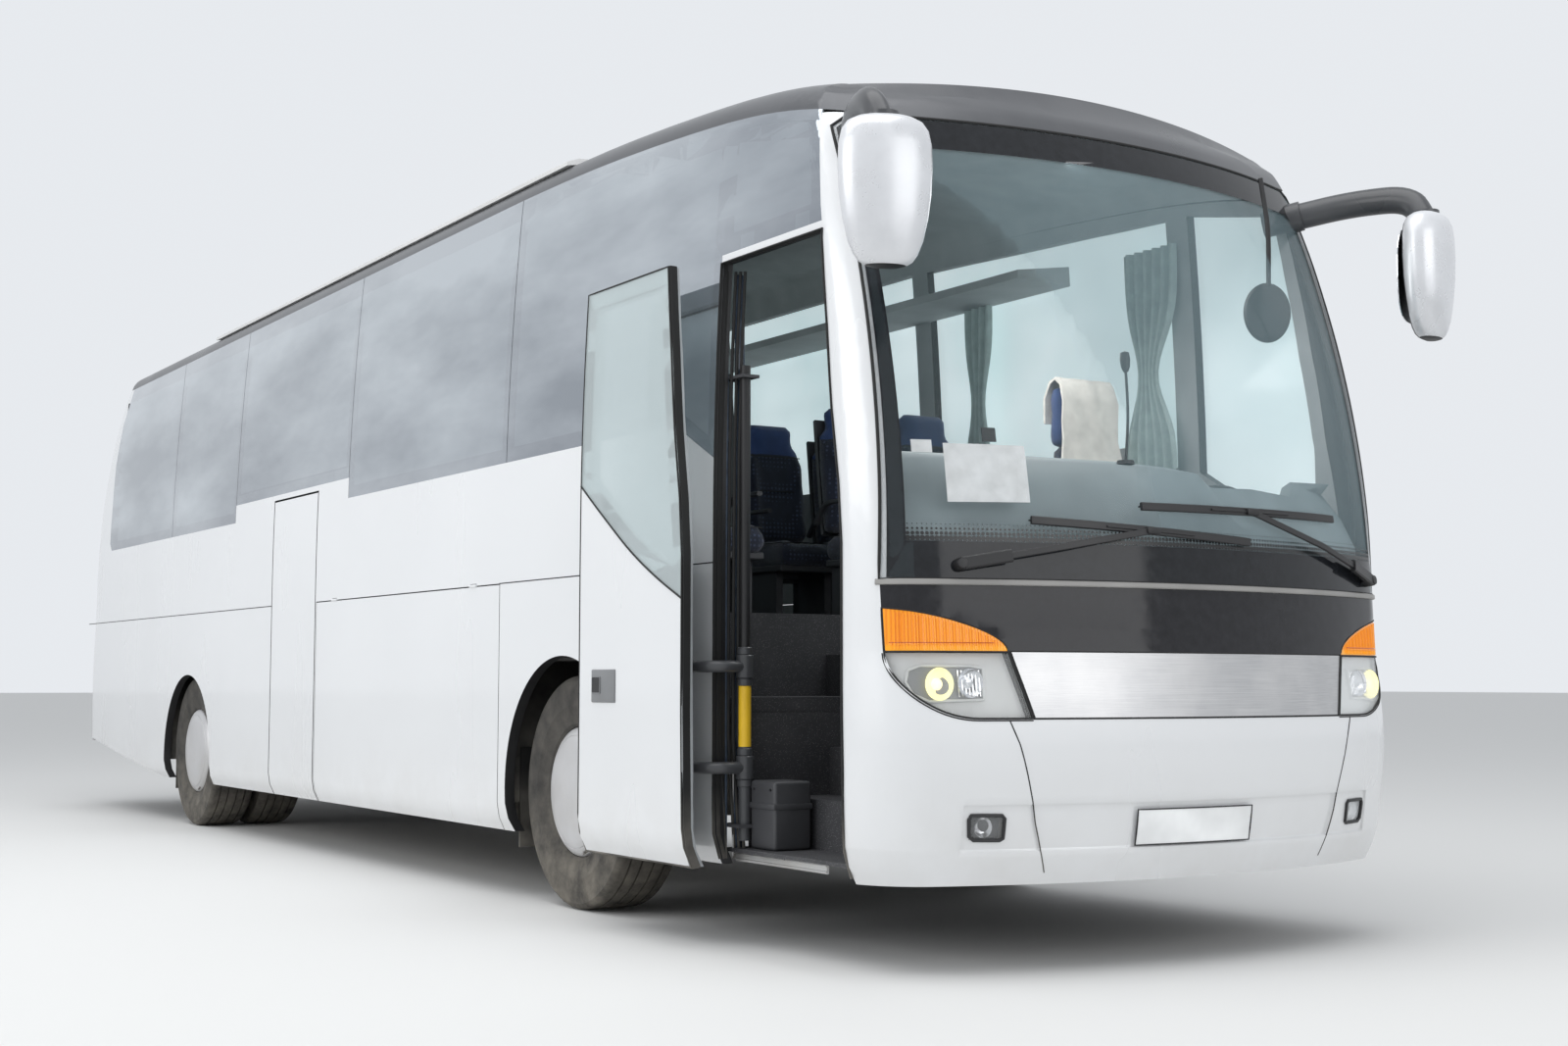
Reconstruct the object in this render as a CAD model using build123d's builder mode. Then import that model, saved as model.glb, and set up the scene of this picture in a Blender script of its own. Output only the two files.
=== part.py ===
"""A two-axle touring coach with a high floor, built panel by panel.

Frame: origin on the ground under the middle of the vehicle, +X forward, +Y to the left, +Z up.
Lengths are millimetres. The front door stands open, as it was parked.
"""
import math
import os
from build123d import *

# Overall sizes
LENGTH = 12000
WIDTH = 2550
FRONT_OVERHANG = 2780
WHEELBASE = 6080
FRONT_X = LENGTH / 2
REAR_X = -LENGTH / 2
HALF = WIDTH / 2
AXLE = FRONT_X - FRONT_OVERHANG
REAR_AXLE = AXLE - WHEELBASE

# Levels above the ground
SKIRT_Z = 310
TUCK_Z = 440
TUCK_MID_Z = 370
TUCK_IN = 40
SEAM_Z = 1475
BELT_Z = 2050
GUTTER_Z = 3330
CROWN_Z = 3545
FLOOR_Z = 1300
CAB_Z = 950
HOLD_Z = 380

# Thicknesses and gaps
WALL = 50
GLASS = 6
SEAT = 0.3
FIT = 0.05
PANEL_GAP = 6
DOOR_GAP = 12
SHEET = 15

# Plan curves of the two ends and the bulge of the sides
PLAN_R_FRONT = 3000
PLAN_R_REAR = 12000
BULGE_START_Z = 1600
BULGE_R = 19000

# Side features, as distances forward of the front axle
PORTAL_REAR = AXLE + 1370
PORTAL_TOP = 2660
MID_DOOR_REAR = AXLE - 4205
MID_DOOR_FRONT = AXLE - 3364
MID_DOOR_TOP = 2135
FLAP_FRONT = AXLE - 680
CORNER_REAR = REAR_X + 345
REAR_SPLIT = REAR_X + 1600
PANE_JOINTS = [AXLE - 6600, AXLE - 5030, AXLE - 2850, AXLE - 640, AXLE + 1440]
GLASS_REAR = AXLE - 8480
FRONT_ARCH_R = 605
REAR_ARCH_R = 580
REAR_ARCH_Z = 470

# Wheels
TYRE_R = 520
TYRE_W = 295
RIM_R = 288
FRONT_TRACK_HALF = 1060
REAR_OUTER_Y = 1067
REAR_INNER_Y = 727
KINGPIN_Y = 950
STEER_LOCK = 40

# Door gear, the same for both doors: a column, two bowed arms and a leaf that stays parallel
COLUMN_IN = 110
COLUMN_AHEAD = 50
ARM_L = 444
ARM_SHUT_DEG = -3.2
ARM_SWING_DEG = 150
COLUMN_R = 24
PIN_R = 10

REACH = 3000


def block(x0, x1, y0, y1, z0, z1, mode=Mode.ADD):
    """A box between two corners."""
    with Locations(((x0 + x1) / 2, (y0 + y1) / 2, (z0 + z1) / 2)):
        Box(abs(x1 - x0), abs(y1 - y0), abs(z1 - z0), mode=mode)


def side_shape(points, y0, y1, mode=Mode.ADD):
    """An outline of (x, z) points, seen from the side, filled from y0 to y1."""
    with BuildSketch(Plane.XZ.offset(-y0)) as shape:
        with BuildLine():
            Polyline(*points, close=True)
        make_face()
    extrude(shape.sketch, amount=y0 - y1, mode=mode)


def front_shape(points, x0, x1, mode=Mode.ADD):
    """An outline of (y, z) points, seen from the front, filled from x0 to x1."""
    with BuildSketch(Plane.YZ.offset(x0)) as shape:
        with BuildLine():
            Polyline(*points, close=True)
        make_face()
    extrude(shape.sketch, amount=x1 - x0, mode=mode)


def plan_shape(points, z0, z1, mode=Mode.ADD):
    """An outline of (x, y) points, seen from above, filled from z0 to z1."""
    with BuildSketch(Plane.XY.offset(z0)) as shape:
        with BuildLine():
            Polyline(*points, close=True)
        make_face()
    extrude(shape.sketch, amount=z1 - z0, mode=mode)


def rod(p, q, radius, mode=Mode.ADD):
    """A round bar from one point to another."""
    a, b = Vector(*p), Vector(*q)
    with BuildSketch(Plane(origin=a, z_dir=b - a)) as shape:
        Circle(radius)
    extrude(shape.sketch, amount=(b - a).length, mode=mode)


def save(part, name):
    """Label a finished piece and write it."""
    part.label = name
    export_step(part, f"parts/{name}.step")


os.makedirs("parts", exist_ok=True)

# Body form
# Columns: height, how far the nose is set back, the front corner's radius
NOSE_ROWS = [
    (SKIRT_Z, 90, 300),
    (TUCK_MID_Z, 66, 300),
    (TUCK_Z, 45, 300),
    (560, 25, 300),
    (800, 0, 300),
    (1120, 35, 300),
    (1350, 52, 270),
    (1700, 84, 225),
    (2050, 141, 200),
    (2400, 228, 170),
    (2750, 343, 150),
    (3000, 446, 135),
    (3120, 501, 130),
    (3200, 555, 130),
    (3240, 610, 130),
    (3700, 1000, 130),
]
# Columns: height, how far the tail is set forward, the rear corner's radius
TAIL_ROWS = [
    (SKIRT_Z, 75, 300),
    (TUCK_MID_Z, 58, 300),
    (TUCK_Z, 45, 300),
    (800, 0, 300),
    (1120, 0, 300),
    (1500, 50, 300),
    (1700, 58, 300),
    (2050, 85, 290),
    (2400, 150, 280),
    (2750, 280, 280),
    (3000, 415, 280),
    (3240, 610, 280),
    (3430, 870, 280),
    (3700, 1200, 280),
]
# Columns: distance along the body, drop of the roof there
ROOF_ROWS = [
    (REAR_X - 200, 0),
    (AXLE - 680, 0),
    (AXLE + 250, 19),
    (AXLE + 1180, 75),
    (AXLE + 1700, 135),
    (AXLE + 2200, 240),
    (FRONT_X + 100, 400),
]
SHOULDER_Y = 1040
SHOULDER_R = 160
CROWN_RISE = 95
# Heights where the sides change their lean
WIDTH_LEVELS = [SKIRT_Z, TUCK_MID_Z, TUCK_Z, 1700, 2050, 2400, 2750, 3000, 3240, 3700]


def half_width_at_level(z):
    """Half the body's width where the lean changes: tucked in at the skirt, upright, then bulged in."""
    tuck = TUCK_IN * (max(0, TUCK_Z - z) / (TUCK_Z - SKIRT_Z)) ** 2
    return HALF - tuck - max(0, z - BULGE_START_Z) ** 2 / (2 * BULGE_R)


def half_width(z):
    """Half the body's width at any height, straight between the levels."""
    for low, high in zip(WIDTH_LEVELS, WIDTH_LEVELS[1:]):
        if z <= high:
            break
    share = (z - low) / (high - low)
    return half_width_at_level(low) * (1 - share) + half_width_at_level(high) * share


def end_outline(z, sign, tip, radius, corner, back, inset):
    """One end of the body at one height: a straight back, two sides, two round corners, a bowed tip."""
    width = half_width(z) - inset
    tip, radius, corner = tip - sign * inset, radius - inset, corner - inset
    turn = math.asin((width - corner) / (radius - corner))
    middle = tip - sign * radius
    corner_x = middle + sign * (radius - corner) * math.cos(turn)
    half_turn = (turn + math.pi / 2) / 2
    knee = (corner_x + sign * corner * math.cos(half_turn), width - corner + corner * math.sin(half_turn))
    meet = (middle + sign * radius * math.cos(turn), radius * math.sin(turn))
    with BuildSketch(Plane.XY.offset(z)) as outline:
        with BuildLine():
            Line((back, -width), (corner_x, -width))
            ThreePointArc((corner_x, -width), (knee[0], -knee[1]), (meet[0], -meet[1]))
            ThreePointArc((meet[0], -meet[1]), (tip, 0), meet)
            ThreePointArc(meet, knee, (corner_x, width))
            Line((corner_x, width), (back, width))
            Line((back, width), (back, -width))
        make_face()
    return outline.sketch


def roof_section(x, drop, inset):
    """All that is under the roof at one place along the body."""
    radius = SHOULDER_R - inset
    y, z = SHOULDER_Y, CROWN_Z - CROWN_RISE - SHOULDER_R - drop
    out = HALF + 60
    knee = (y + radius * math.sqrt(0.5), z + radius * math.sqrt(0.5))
    with BuildSketch(Plane.YZ.offset(x)) as section:
        with BuildLine():
            Polyline(
                (-y - radius, z), (-out, z - 90), (-out, 0), (out, 0), (out, z - 90), (y + radius, z)
            )
            ThreePointArc((y + radius, z), knee, (y, z + radius))
            ThreePointArc((y, z + radius), (0, z + radius + CROWN_RISE), (-y, z + radius))
            ThreePointArc((-y, z + radius), (-knee[0], knee[1]), (-y - radius, z))
        make_face()
    return section.sketch


def roof_form(inset):
    """A solid whose top is the roof, level at the back and falling towards the nose."""
    with BuildPart() as form:
        for x, drop in ROOF_ROWS:
            add(roof_section(x, drop, inset))
        loft(ruled=True)
    return form.part


def end_form(sign, rows, radius, back, inset, roof):
    """The front or rear end of the body under the roof."""
    tip = FRONT_X if sign > 0 else REAR_X
    with BuildPart() as form:
        for z, setback, corner in rows:
            add(end_outline(z, sign, tip - sign * setback, radius, corner, back, inset))
        loft(ruled=True)
        add(roof, mode=Mode.INTERSECT)
    return form.part


def middle_form(inset, roof):
    """The straight middle of the body under the roof."""
    edge = [(half_width(z) - inset, z) for z in WIDTH_LEVELS]
    with BuildPart() as form:
        with BuildSketch(Plane.YZ.offset(REAR_SPLIT)):
            with BuildLine():
                Polyline(*edge, *[(-y, z) for y, z in reversed(edge)], close=True)
            make_face()
        extrude(amount=PORTAL_REAR - REAR_SPLIT)
        add(roof, mode=Mode.INTERSECT)
    return form.part


def shells(cores):
    """The three lengths of the body between its surface and smaller forms: front, middle and rear."""
    walls = []
    for outer, inner in zip(OUTER, cores):
        with BuildPart() as wall:
            add(outer)
            add(inner, mode=Mode.SUBTRACT)
        walls.append(wall.part)
    return walls


def forms(inset):
    """The front, middle and rear forms at an inset, open below and at their ends where inset."""
    roof = roof_form(inset)
    front = end_form(1, NOSE_ROWS, PLAN_R_FRONT, PORTAL_REAR, inset, roof)
    rear = end_form(-1, TAIL_ROWS, PLAN_R_REAR, REAR_SPLIT, inset, roof)
    return front, middle_form(inset, roof), rear


OUTER = forms(0)
INNER = forms(WALL)
SKIN = shells(INNER)
PANE = shells(forms(GLASS))

# Lines seen from the side, as (x, z) points
GUTTER = [(x, GUTTER_Z - drop) for x, drop in ROOF_ROWS[1:5]]
PILLAR = [
    (AXLE + 2290, SKIRT_Z - 20),
    (AXLE + 2275, 900),
    (AXLE + 2275, 1500),
    (AXLE + 2255, 1720),
    (AXLE + 2205, 1990),
    (AXLE + 2160, 2300),
    (AXLE + 2100, 2650),
    (AXLE + 2010, GUTTER_Z - 200),
]
REAR_LINE = [
    (CORNER_REAR + 10, SKIRT_Z - 20),
    (CORNER_REAR + 10, 1300),
    (CORNER_REAR + 85, 2050),
    (CORNER_REAR + 140, 2400),
    (CORNER_REAR + 270, 2750),
    (CORNER_REAR + 440, 3050),
    (CORNER_REAR + 700, GUTTER_Z),
]
DEPARTURE = [(REAR_AXLE - 700, SKIRT_Z), (REAR_X, 560)]
WINDSCREEN_TOP = 3118
WINDSCREEN_BASE = 1360
STRIP_LOW = 886
STRIP_HIGH = 1117


def pillar_x(z, shift=0):
    """Where the front pillar's rear edge is at a height."""
    for (x0, z0), (x1, z1) in zip(PILLAR, PILLAR[1:]):
        if z <= z1:
            return x0 + (x1 - x0) * (z - z0) / (z1 - z0) + shift
    return PILLAR[-1][0] + shift


def glass_outline(low):
    """The glazed band seen from the side, above a lower edge given as (x, z) points."""
    rear = [
        (GLASS_REAR + 360, GUTTER_Z),
        (GLASS_REAR + 120, 3050),
        (GLASS_REAR + 10, 2750),
        (GLASS_REAR, BELT_Z + 60),
        (GLASS_REAR + 60, BELT_Z),
    ]
    return rear + low + list(reversed(GUTTER))


def wall_piece(parts, outline, side):
    """The part of the three shells inside an outline seen from the side, on one side of the body."""
    with BuildPart() as slab:
        side_shape(outline, 0, side * REACH)
    with BuildPart() as piece:
        for part in parts:
            common = part.intersect(slab.part)
            if common is not None:
                add(common)
    return piece.part


FRONT_LOW = [
    (AXLE + 1030, BELT_Z), (PORTAL_REAR, 1880), (AXLE + 1636, 1723), (AXLE + 1936, 1531),
    (pillar_x(1380), 1380),
]
GLASS_LINES = {
    1: glass_outline(FRONT_LOW + PILLAR[2:]),
    -1: glass_outline(
        [
            (PANE_JOINTS[1], BELT_Z),
            (PANE_JOINTS[1] + 1, 2167),
            (PANE_JOINTS[2], 2167),
            (PANE_JOINTS[2] + 1, BELT_Z),
            (AXLE + 1030, BELT_Z),
            (PORTAL_REAR, 1880),
            (PORTAL_REAR + 1, PORTAL_TOP + 30),
            (pillar_x(PORTAL_TOP + 30), PORTAL_TOP + 30),
        ]
        + PILLAR[7:]
    ),
}
WALL_LINES = {
    1: REAR_LINE[1:] + GUTTER + list(reversed(PILLAR)) + DEPARTURE[:1] + [(CORNER_REAR + 10, 540)],
    -1: REAR_LINE[1:]
    + GUTTER
    + [PILLAR[7], (pillar_x(PORTAL_TOP), PORTAL_TOP), (PORTAL_REAR, PORTAL_TOP), (PORTAL_REAR, SKIRT_Z)]
    + DEPARTURE[:1]
    + [(CORNER_REAR + 10, 540)],
}
# Columns: rear edge, front edge of each luggage flap
FLAPS = {
    1: [(REAR_AXLE + 680, AXLE - 3370), (AXLE - 3364, FLAP_FRONT - PANEL_GAP)],
    -1: [(MID_DOOR_FRONT + DOOR_GAP, FLAP_FRONT - PANEL_GAP)],
}
NAMES = {1: "left", -1: "right"}

# Side walls with their openings, and the glass over them
PIN_HALF = 40
HINGE_PIN_R = 3.5
KNUCKLE_R = 7.5


def hinge_places(x0, x1):
    """Where a long lid has its two hinges."""
    return x0 + 0.12 * (x1 - x0), x1 - 0.12 * (x1 - x0)


def wall_pins(places, start):
    """Hinge pins held by both ends of a notch; start gives one end of a pin at a place, along X or Y."""
    for place in places:
        (x, y, z), (dx, dy) = start(place)
        half = PIN_HALF
        block(x - half * dx - 10 * dy, x + half * dx + 10 * dy, y - half * dy - 10 * dx, y + half * dy + 10 * dx,
              z - 10, z + 10, mode=Mode.SUBTRACT)
        reach = half + 6
        rod((x - reach * dx, y - reach * dy, z), (x + reach * dx, y + reach * dy, z), HINGE_PIN_R)


def lid_knuckles(places, start):
    """Rings on a lid that turn on the hinge pins."""
    for place in places:
        (x, y, z), (dx, dy) = start(place)
        reach = PIN_HALF - SEAT
        ends = (x - reach * dx, y - reach * dy, z), (x + reach * dx, y + reach * dy, z)
        rod(*ends, KNUCKLE_R)
        rod(*ends, HINGE_PIN_R + FIT, mode=Mode.SUBTRACT)


def flap_hinge(side):
    """The hinge line of a luggage flap, along the wall's lower outer edge."""
    return lambda x: ((x, side * HALF, SEAM_Z), (1, 0))


PANES = {side: wall_piece(PANE, GLASS_LINES[side], side) for side in (-1, 1)}
ARCHES = [(AXLE, TYRE_R, FRONT_ARCH_R), (REAR_AXLE, REAR_ARCH_Z, REAR_ARCH_R)]
FRAME_EDGE = 70
WINDOW_LOW = BELT_Z + FRAME_EDGE
for side in (-1, 1):
    wall_shell = wall_piece(SKIN, WALL_LINES[side], side)
    with BuildPart() as wall:
        add(wall_shell)
        add(PANES[side], mode=Mode.SUBTRACT)
        for x0, x1 in zip([GLASS_REAR + 150] + PANE_JOINTS[:3], PANE_JOINTS[:4]):
            over_door = side < 0 and x0 == PANE_JOINTS[1]
            low = WINDOW_LOW + (120 if over_door else 0)
            block(
                x0 + FRAME_EDGE, x1 - FRAME_EDGE, 0, side * REACH, low, GUTTER_Z - 100, mode=Mode.SUBTRACT
            )
        front_low = [
            (PANE_JOINTS[3] + FRAME_EDGE, WINDOW_LOW), (AXLE + 1030, WINDOW_LOW),
            (PORTAL_REAR - FRAME_EDGE, 1980),
        ]
        front_top = [(PORTAL_REAR - FRAME_EDGE, 3140), (PANE_JOINTS[3] + FRAME_EDGE, 3220)]
        side_shape(front_low + front_top, 0, side * REACH, mode=Mode.SUBTRACT)
        cab_top = [(pillar_x(3000, -FRAME_EDGE), 3030), (PORTAL_REAR + FRAME_EDGE, 3130)]
        if side > 0:
            cab_low = [(PORTAL_REAR + FRAME_EDGE, 1960), (AXLE + 2130, 1560), (pillar_x(2000, -FRAME_EDGE), 2000),
                       (pillar_x(2650, -FRAME_EDGE), 2650)]
        else:
            cab_low = [
                (PORTAL_REAR + FRAME_EDGE, PORTAL_TOP + 110),
                (pillar_x(2770, -FRAME_EDGE), PORTAL_TOP + 110),
            ]
            block(MID_DOOR_REAR, MID_DOOR_FRONT, 0, side * REACH, 0, MID_DOOR_TOP, mode=Mode.SUBTRACT)
        side_shape(cab_low + cab_top, 0, side * REACH, mode=Mode.SUBTRACT)
        for x0, x1 in FLAPS[side]:
            block(x0, x1, 0, side * REACH, 0, SEAM_Z, mode=Mode.SUBTRACT)
            wall_pins(hinge_places(x0, x1), flap_hinge(side))
        for x, z, radius in ARCHES:
            with Locations(Location((x, side * HALF, z), (90, 0, 0))):
                Cylinder(radius, HALF, mode=Mode.SUBTRACT)
    save(wall.part, f"side_wall_{NAMES[side]}")
    with BuildPart() as glass:
        add(PANES[side])
        for x in PANE_JOINTS[:4] + ([PANE_JOINTS[4]] if side > 0 else []):
            block(
                x - PANEL_GAP / 2, x + PANEL_GAP / 2, 0, side * REACH, 0, 2 * GUTTER_Z, mode=Mode.SUBTRACT
            )
    save(glass.part, f"side_glass_{NAMES[side]}")

# Luggage flaps
for side, spans in FLAPS.items():
    for number, (x0, x1) in enumerate(spans, 1):
        with BuildPart() as flap:
            add(SKIN[1])
            block(
                x0 + PANEL_GAP, x1 - PANEL_GAP, 0, side * REACH, 0, SEAM_Z - PANEL_GAP,
                mode=Mode.INTERSECT,
            )
            lid_knuckles(hinge_places(x0, x1), flap_hinge(side))
        suffix = f"_{number}" if len(spans) > 1 else ""
        save(flap.part, f"luggage_flap_{NAMES[side]}{suffix}")

# Roof: everything above the gutter lines
with BuildPart() as over_roof:
    roof_edge = [(REAR_X - 50, GUTTER_Z)] + GUTTER + [
        PILLAR[-1], (AXLE + 2100, WINDSCREEN_TOP), (FRONT_X + 50, WINDSCREEN_TOP)
    ]
    side_shape(roof_edge + [(FRONT_X + 50, CROWN_Z + 100), (REAR_X - 50, CROWN_Z + 100)], -REACH, REACH)
roof_lengths = [part.intersect(over_roof.part) for part in SKIN]
with BuildPart() as roof:
    for part in roof_lengths:
        add(part)
save(roof.part, "roof")

# Roof fairings and the cooling unit between them
FAIRING = (AXLE - 6000, AXLE - 250)
FAIRING_Z = CROWN_Z - 96
# Columns: distance from the middle, height above the fairing's level
FAIRING_ROWS = [(1150, -24), (1155, -8), (1090, 16), (1010, 20), (960, 8)]
with BuildPart() as fairings:
    for side in (-1, 1):
        front_shape([(side * y, FAIRING_Z + rise) for y, rise in FAIRING_ROWS], *FAIRING)
    add(OUTER[1], mode=Mode.SUBTRACT)
    add(OUTER[2], mode=Mode.SUBTRACT)
save(fairings.part, "roof_fairings")
UNIT = (AXLE - 5200, AXLE - 2100)
UNIT_TOP = CROWN_Z + 55
UNIT_HALF = 800
FAN_R = 210
FAN_DEPTH = 30
with BuildPart() as unit:
    crest = [(UNIT_HALF - 40, UNIT_TOP - 20), (UNIT_HALF - 80, UNIT_TOP)]
    foot = (UNIT_HALF, CROWN_Z - 130)
    front_shape([foot] + crest + [(-y, z) for y, z in reversed([foot] + crest)], *UNIT)
    add(OUTER[1], mode=Mode.SUBTRACT)
    for x in (UNIT[0] + 500, UNIT[0] + 1150, UNIT[0] + 1800):
        for y in (-400, 400):
            with Locations((x, y, UNIT_TOP - FAN_DEPTH / 2)):
                Cylinder(FAN_R, FAN_DEPTH + 1, mode=Mode.SUBTRACT)
                Cylinder(60, FAN_DEPTH + 1)
save(unit.part, "roof_unit")

# Front: everything ahead of the pillar lines
with BuildPart() as ahead:
    side_shape(PILLAR + [(FRONT_X + 50, GUTTER_Z - 200), (FRONT_X + 50, SKIRT_Z - 20)], -REACH, REACH)
FRONT_SKIN = SKIN[0].intersect(ahead.part)
FRONT_PANE = PANE[0].intersect(ahead.part)
FRONT_BACK = AXLE + 1900


def front_piece(points, skin=None, holes=()):
    """The front wall inside an outline of (y, z) points, less any holes."""
    with BuildPart() as piece:
        add(skin or FRONT_SKIN)
        front_shape(points, FRONT_BACK, FRONT_X + 100, mode=Mode.INTERSECT)
        for hole in holes:
            front_shape(hole, FRONT_BACK, FRONT_X + 100, mode=Mode.SUBTRACT)
    return piece.part


def band(z0, z1, half=REACH):
    """A level band in the front view."""
    return [(-half, z0), (half, z0), (half, z1), (-half, z1)]


def mirrored(points):
    """The same outline on the other side of the middle."""
    return [(-y, z) for y, z in points]


def pair(outline, cut, name):
    """Two like pieces, one each side of the middle, in one node."""
    both = [cut(outline), cut(mirrored(outline))]
    with BuildPart() as pieces:
        for part in both:
            add(part)
    save(pieces.part, name)


# Edges of the lamps in the front view, as distances from the middle
LAMP_EDGE = 1215
LAMP_ROUND = 280
LAMP_TIP = 820
LAMP_KNEE = (785, 1000)
LAMP_FOOT = 752
POST_EDGE = 1221
INDICATOR_TOP = (1219, 1267)
INDICATOR_SLOPE = 0.1


def lamp_edge(degrees):
    """A point on a headlamp's round outer edge: 0 at its side, 90 at its foot."""
    turn = math.radians(degrees)
    return LAMP_EDGE - LAMP_ROUND * (1 - math.cos(turn)), STRIP_HIGH - (
        STRIP_HIGH - STRIP_LOW
    ) * math.sin(turn)


def indicator_edge(degrees):
    """A point on an indicator's sloping round top: 90 at its outer corner, 0 at its tip."""
    turn = math.radians(degrees)
    inwards = (INDICATOR_TOP[0] - LAMP_TIP) * math.cos(turn)
    rise = INDICATOR_TOP[1] - STRIP_HIGH - INDICATOR_SLOPE * inwards
    return INDICATOR_TOP[0] - inwards, STRIP_HIGH + rise * math.sin(turn)


LAMP_CURVE = [lamp_edge(degrees) for degrees in (0, 25, 45, 65, 90)]
INDICATOR_CURVE = [indicator_edge(degrees) for degrees in (90, 65, 42, 22, 10)]
INDICATOR = [(LAMP_TIP, STRIP_HIGH), LAMP_CURVE[0]] + INDICATOR_CURVE
HEADLAMP = [(LAMP_TIP, STRIP_HIGH)] + LAMP_CURVE + [(LAMP_FOOT, STRIP_LOW), LAMP_KNEE]
FOG = [(835, 469), (955, 471), (962, 555), (843, 553)]


def across(points):
    """An outline closed by its own mirror image; its points run from the middle's one side outwards."""
    return points + list(reversed(mirrored(points)))


MASK = across([(LAMP_TIP, STRIP_HIGH)] + list(reversed(INDICATOR_CURVE)) + [(POST_EDGE, WINDSCREEN_BASE)])
STRIP = across([(LAMP_FOOT, STRIP_LOW), LAMP_KNEE, (LAMP_TIP, STRIP_HIGH)])
BUMPER = across(
    list(reversed(LAMP_CURVE)) + [
        INDICATOR_TOP, (POST_EDGE, WINDSCREEN_BASE), (REACH, WINDSCREEN_BASE), (REACH, SKIRT_Z)
    ]
)
save(front_piece(BUMPER, holes=(FOG, mirrored(FOG))), "bumper")
save(front_piece(STRIP), "front_strip")
save(front_piece(MASK), "front_mask")
pair(HEADLAMP, front_piece, "headlamps")
pair(INDICATOR, front_piece, "front_indicators")
pair(FOG, front_piece, "fog_lamps")
SCREEN = [
    (-1225, WINDSCREEN_BASE), (1225, WINDSCREEN_BASE), (1180, 3060), (1110, 3112), (-1110, 3112),
    (-1180, 3060),
]
SCREEN_EDGE = 40
windscreen = front_piece(SCREEN, FRONT_PANE)
save(windscreen, "windscreen")
screen_hole = [(y - math.copysign(SCREEN_EDGE, y), z if z < 2000 else z - SCREEN_EDGE) for y, z in SCREEN]
screen_surround = front_piece(band(WINDSCREEN_BASE, WINDSCREEN_TOP), holes=(screen_hole,))
with BuildPart() as surround:
    add(screen_surround)
    add(windscreen, mode=Mode.SUBTRACT)
save(surround.part, "windscreen_frame")

# Rear: everything behind the rear line
with BuildPart() as behind:
    side_shape(REAR_LINE + [(REAR_X - 50, GUTTER_Z), (REAR_X - 50, SKIRT_Z - 20)], -REACH, REACH)
    side_shape(
        [(REAR_AXLE, 0), DEPARTURE[0], DEPARTURE[1], (REAR_X - 100, 560), (REAR_X - 100, 0)], -REACH,
        REACH, mode=Mode.SUBTRACT,
    )
REAR_SKIN = SKIN[2].intersect(behind.part)
REAR_PANE = PANE[2].intersect(behind.part)
LID_HALF = 900
LID_LOW = 740
LID_TOP = 1500
LID_HINGES = (-250, 250)
LID_X = REAR_X + 50
BUMPER_TOP = LID_LOW - 60
REAR_LAMP = [(985, 900), (1160, 900), (1160, 1420), (985, 1420)]
REAR_SCREEN = [(-960, 2180), (960, 2180), (930, 2960), (-930, 2960)]


def rear_piece(points, skin=None, holes=()):
    """The rear wall inside an outline of (y, z) points, less any holes."""
    with BuildPart() as piece:
        add(skin or REAR_SKIN)
        front_shape(points, REAR_X - 100, REAR_SPLIT, mode=Mode.INTERSECT)
        for hole in holes:
            front_shape(hole, REAR_X - 100, REAR_SPLIT, mode=Mode.SUBTRACT)
    return piece.part


def lid_hinge(y):
    """The hinge line of the engine lid, across the back."""
    return (LID_X, y, LID_TOP), (0, 1)


LID_HOLE = [(-LID_HALF, LID_LOW), (LID_HALF, LID_LOW), (LID_HALF, LID_TOP), (-LID_HALF, LID_TOP)]
window_hole = [
    (y - math.copysign(SCREEN_EDGE, y), z + (SCREEN_EDGE if z < 2500 else -SCREEN_EDGE))
    for y, z in REAR_SCREEN
]
rear_window = rear_piece(REAR_SCREEN, REAR_PANE)
rear_panel = rear_piece(
    band(BUMPER_TOP, GUTTER_Z), holes=(LID_HOLE, window_hole, REAR_LAMP, mirrored(REAR_LAMP))
)
with BuildPart() as rear_wall:
    add(rear_panel)
    add(rear_window, mode=Mode.SUBTRACT)
    wall_pins(LID_HINGES, lid_hinge)
save(rear_wall.part, "rear_wall")
save(rear_window, "rear_window")
save(rear_piece(band(SKIRT_Z, BUMPER_TOP)), "rear_bumper")
pair(REAR_LAMP, rear_piece, "tail_lamps")
lid_outline = [
    (y - math.copysign(PANEL_GAP, y), z + (PANEL_GAP if z < LID_TOP else -PANEL_GAP))
    for y, z in LID_HOLE
]
lid_panel = rear_piece(lid_outline)
with BuildPart() as lid:
    add(lid_panel)
    lid_knuckles(LID_HINGES, lid_hinge)
save(lid.part, "engine_lid")

# Front door leaf, cut from the side, and its glass
FRONT_LEAF = [(PORTAL_REAR + DOOR_GAP, SKIRT_Z - 20), (pillar_x(SKIRT_Z, -DOOR_GAP), SKIRT_Z - 20)] + [
    (x - DOOR_GAP, z) for x, z in PILLAR[1:6]
] + [
    (
        pillar_x(PORTAL_TOP, -DOOR_GAP), PORTAL_TOP - DOOR_GAP
    ), (PORTAL_REAR + DOOR_GAP, PORTAL_TOP - DOOR_GAP),
]
LEAF_LOW = [
    (PORTAL_REAR + DOOR_GAP, 1830), (AXLE + 1540, 1723), (AXLE + 1836, 1531), (AXLE + 2058, 1417),
    (pillar_x(1330, -DOOR_GAP), 1330),
]
LEAF_GLASS = LEAF_LOW + [(x - DOOR_GAP, z) for x, z in PILLAR[2:6]] + FRONT_LEAF[-2:]
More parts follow.
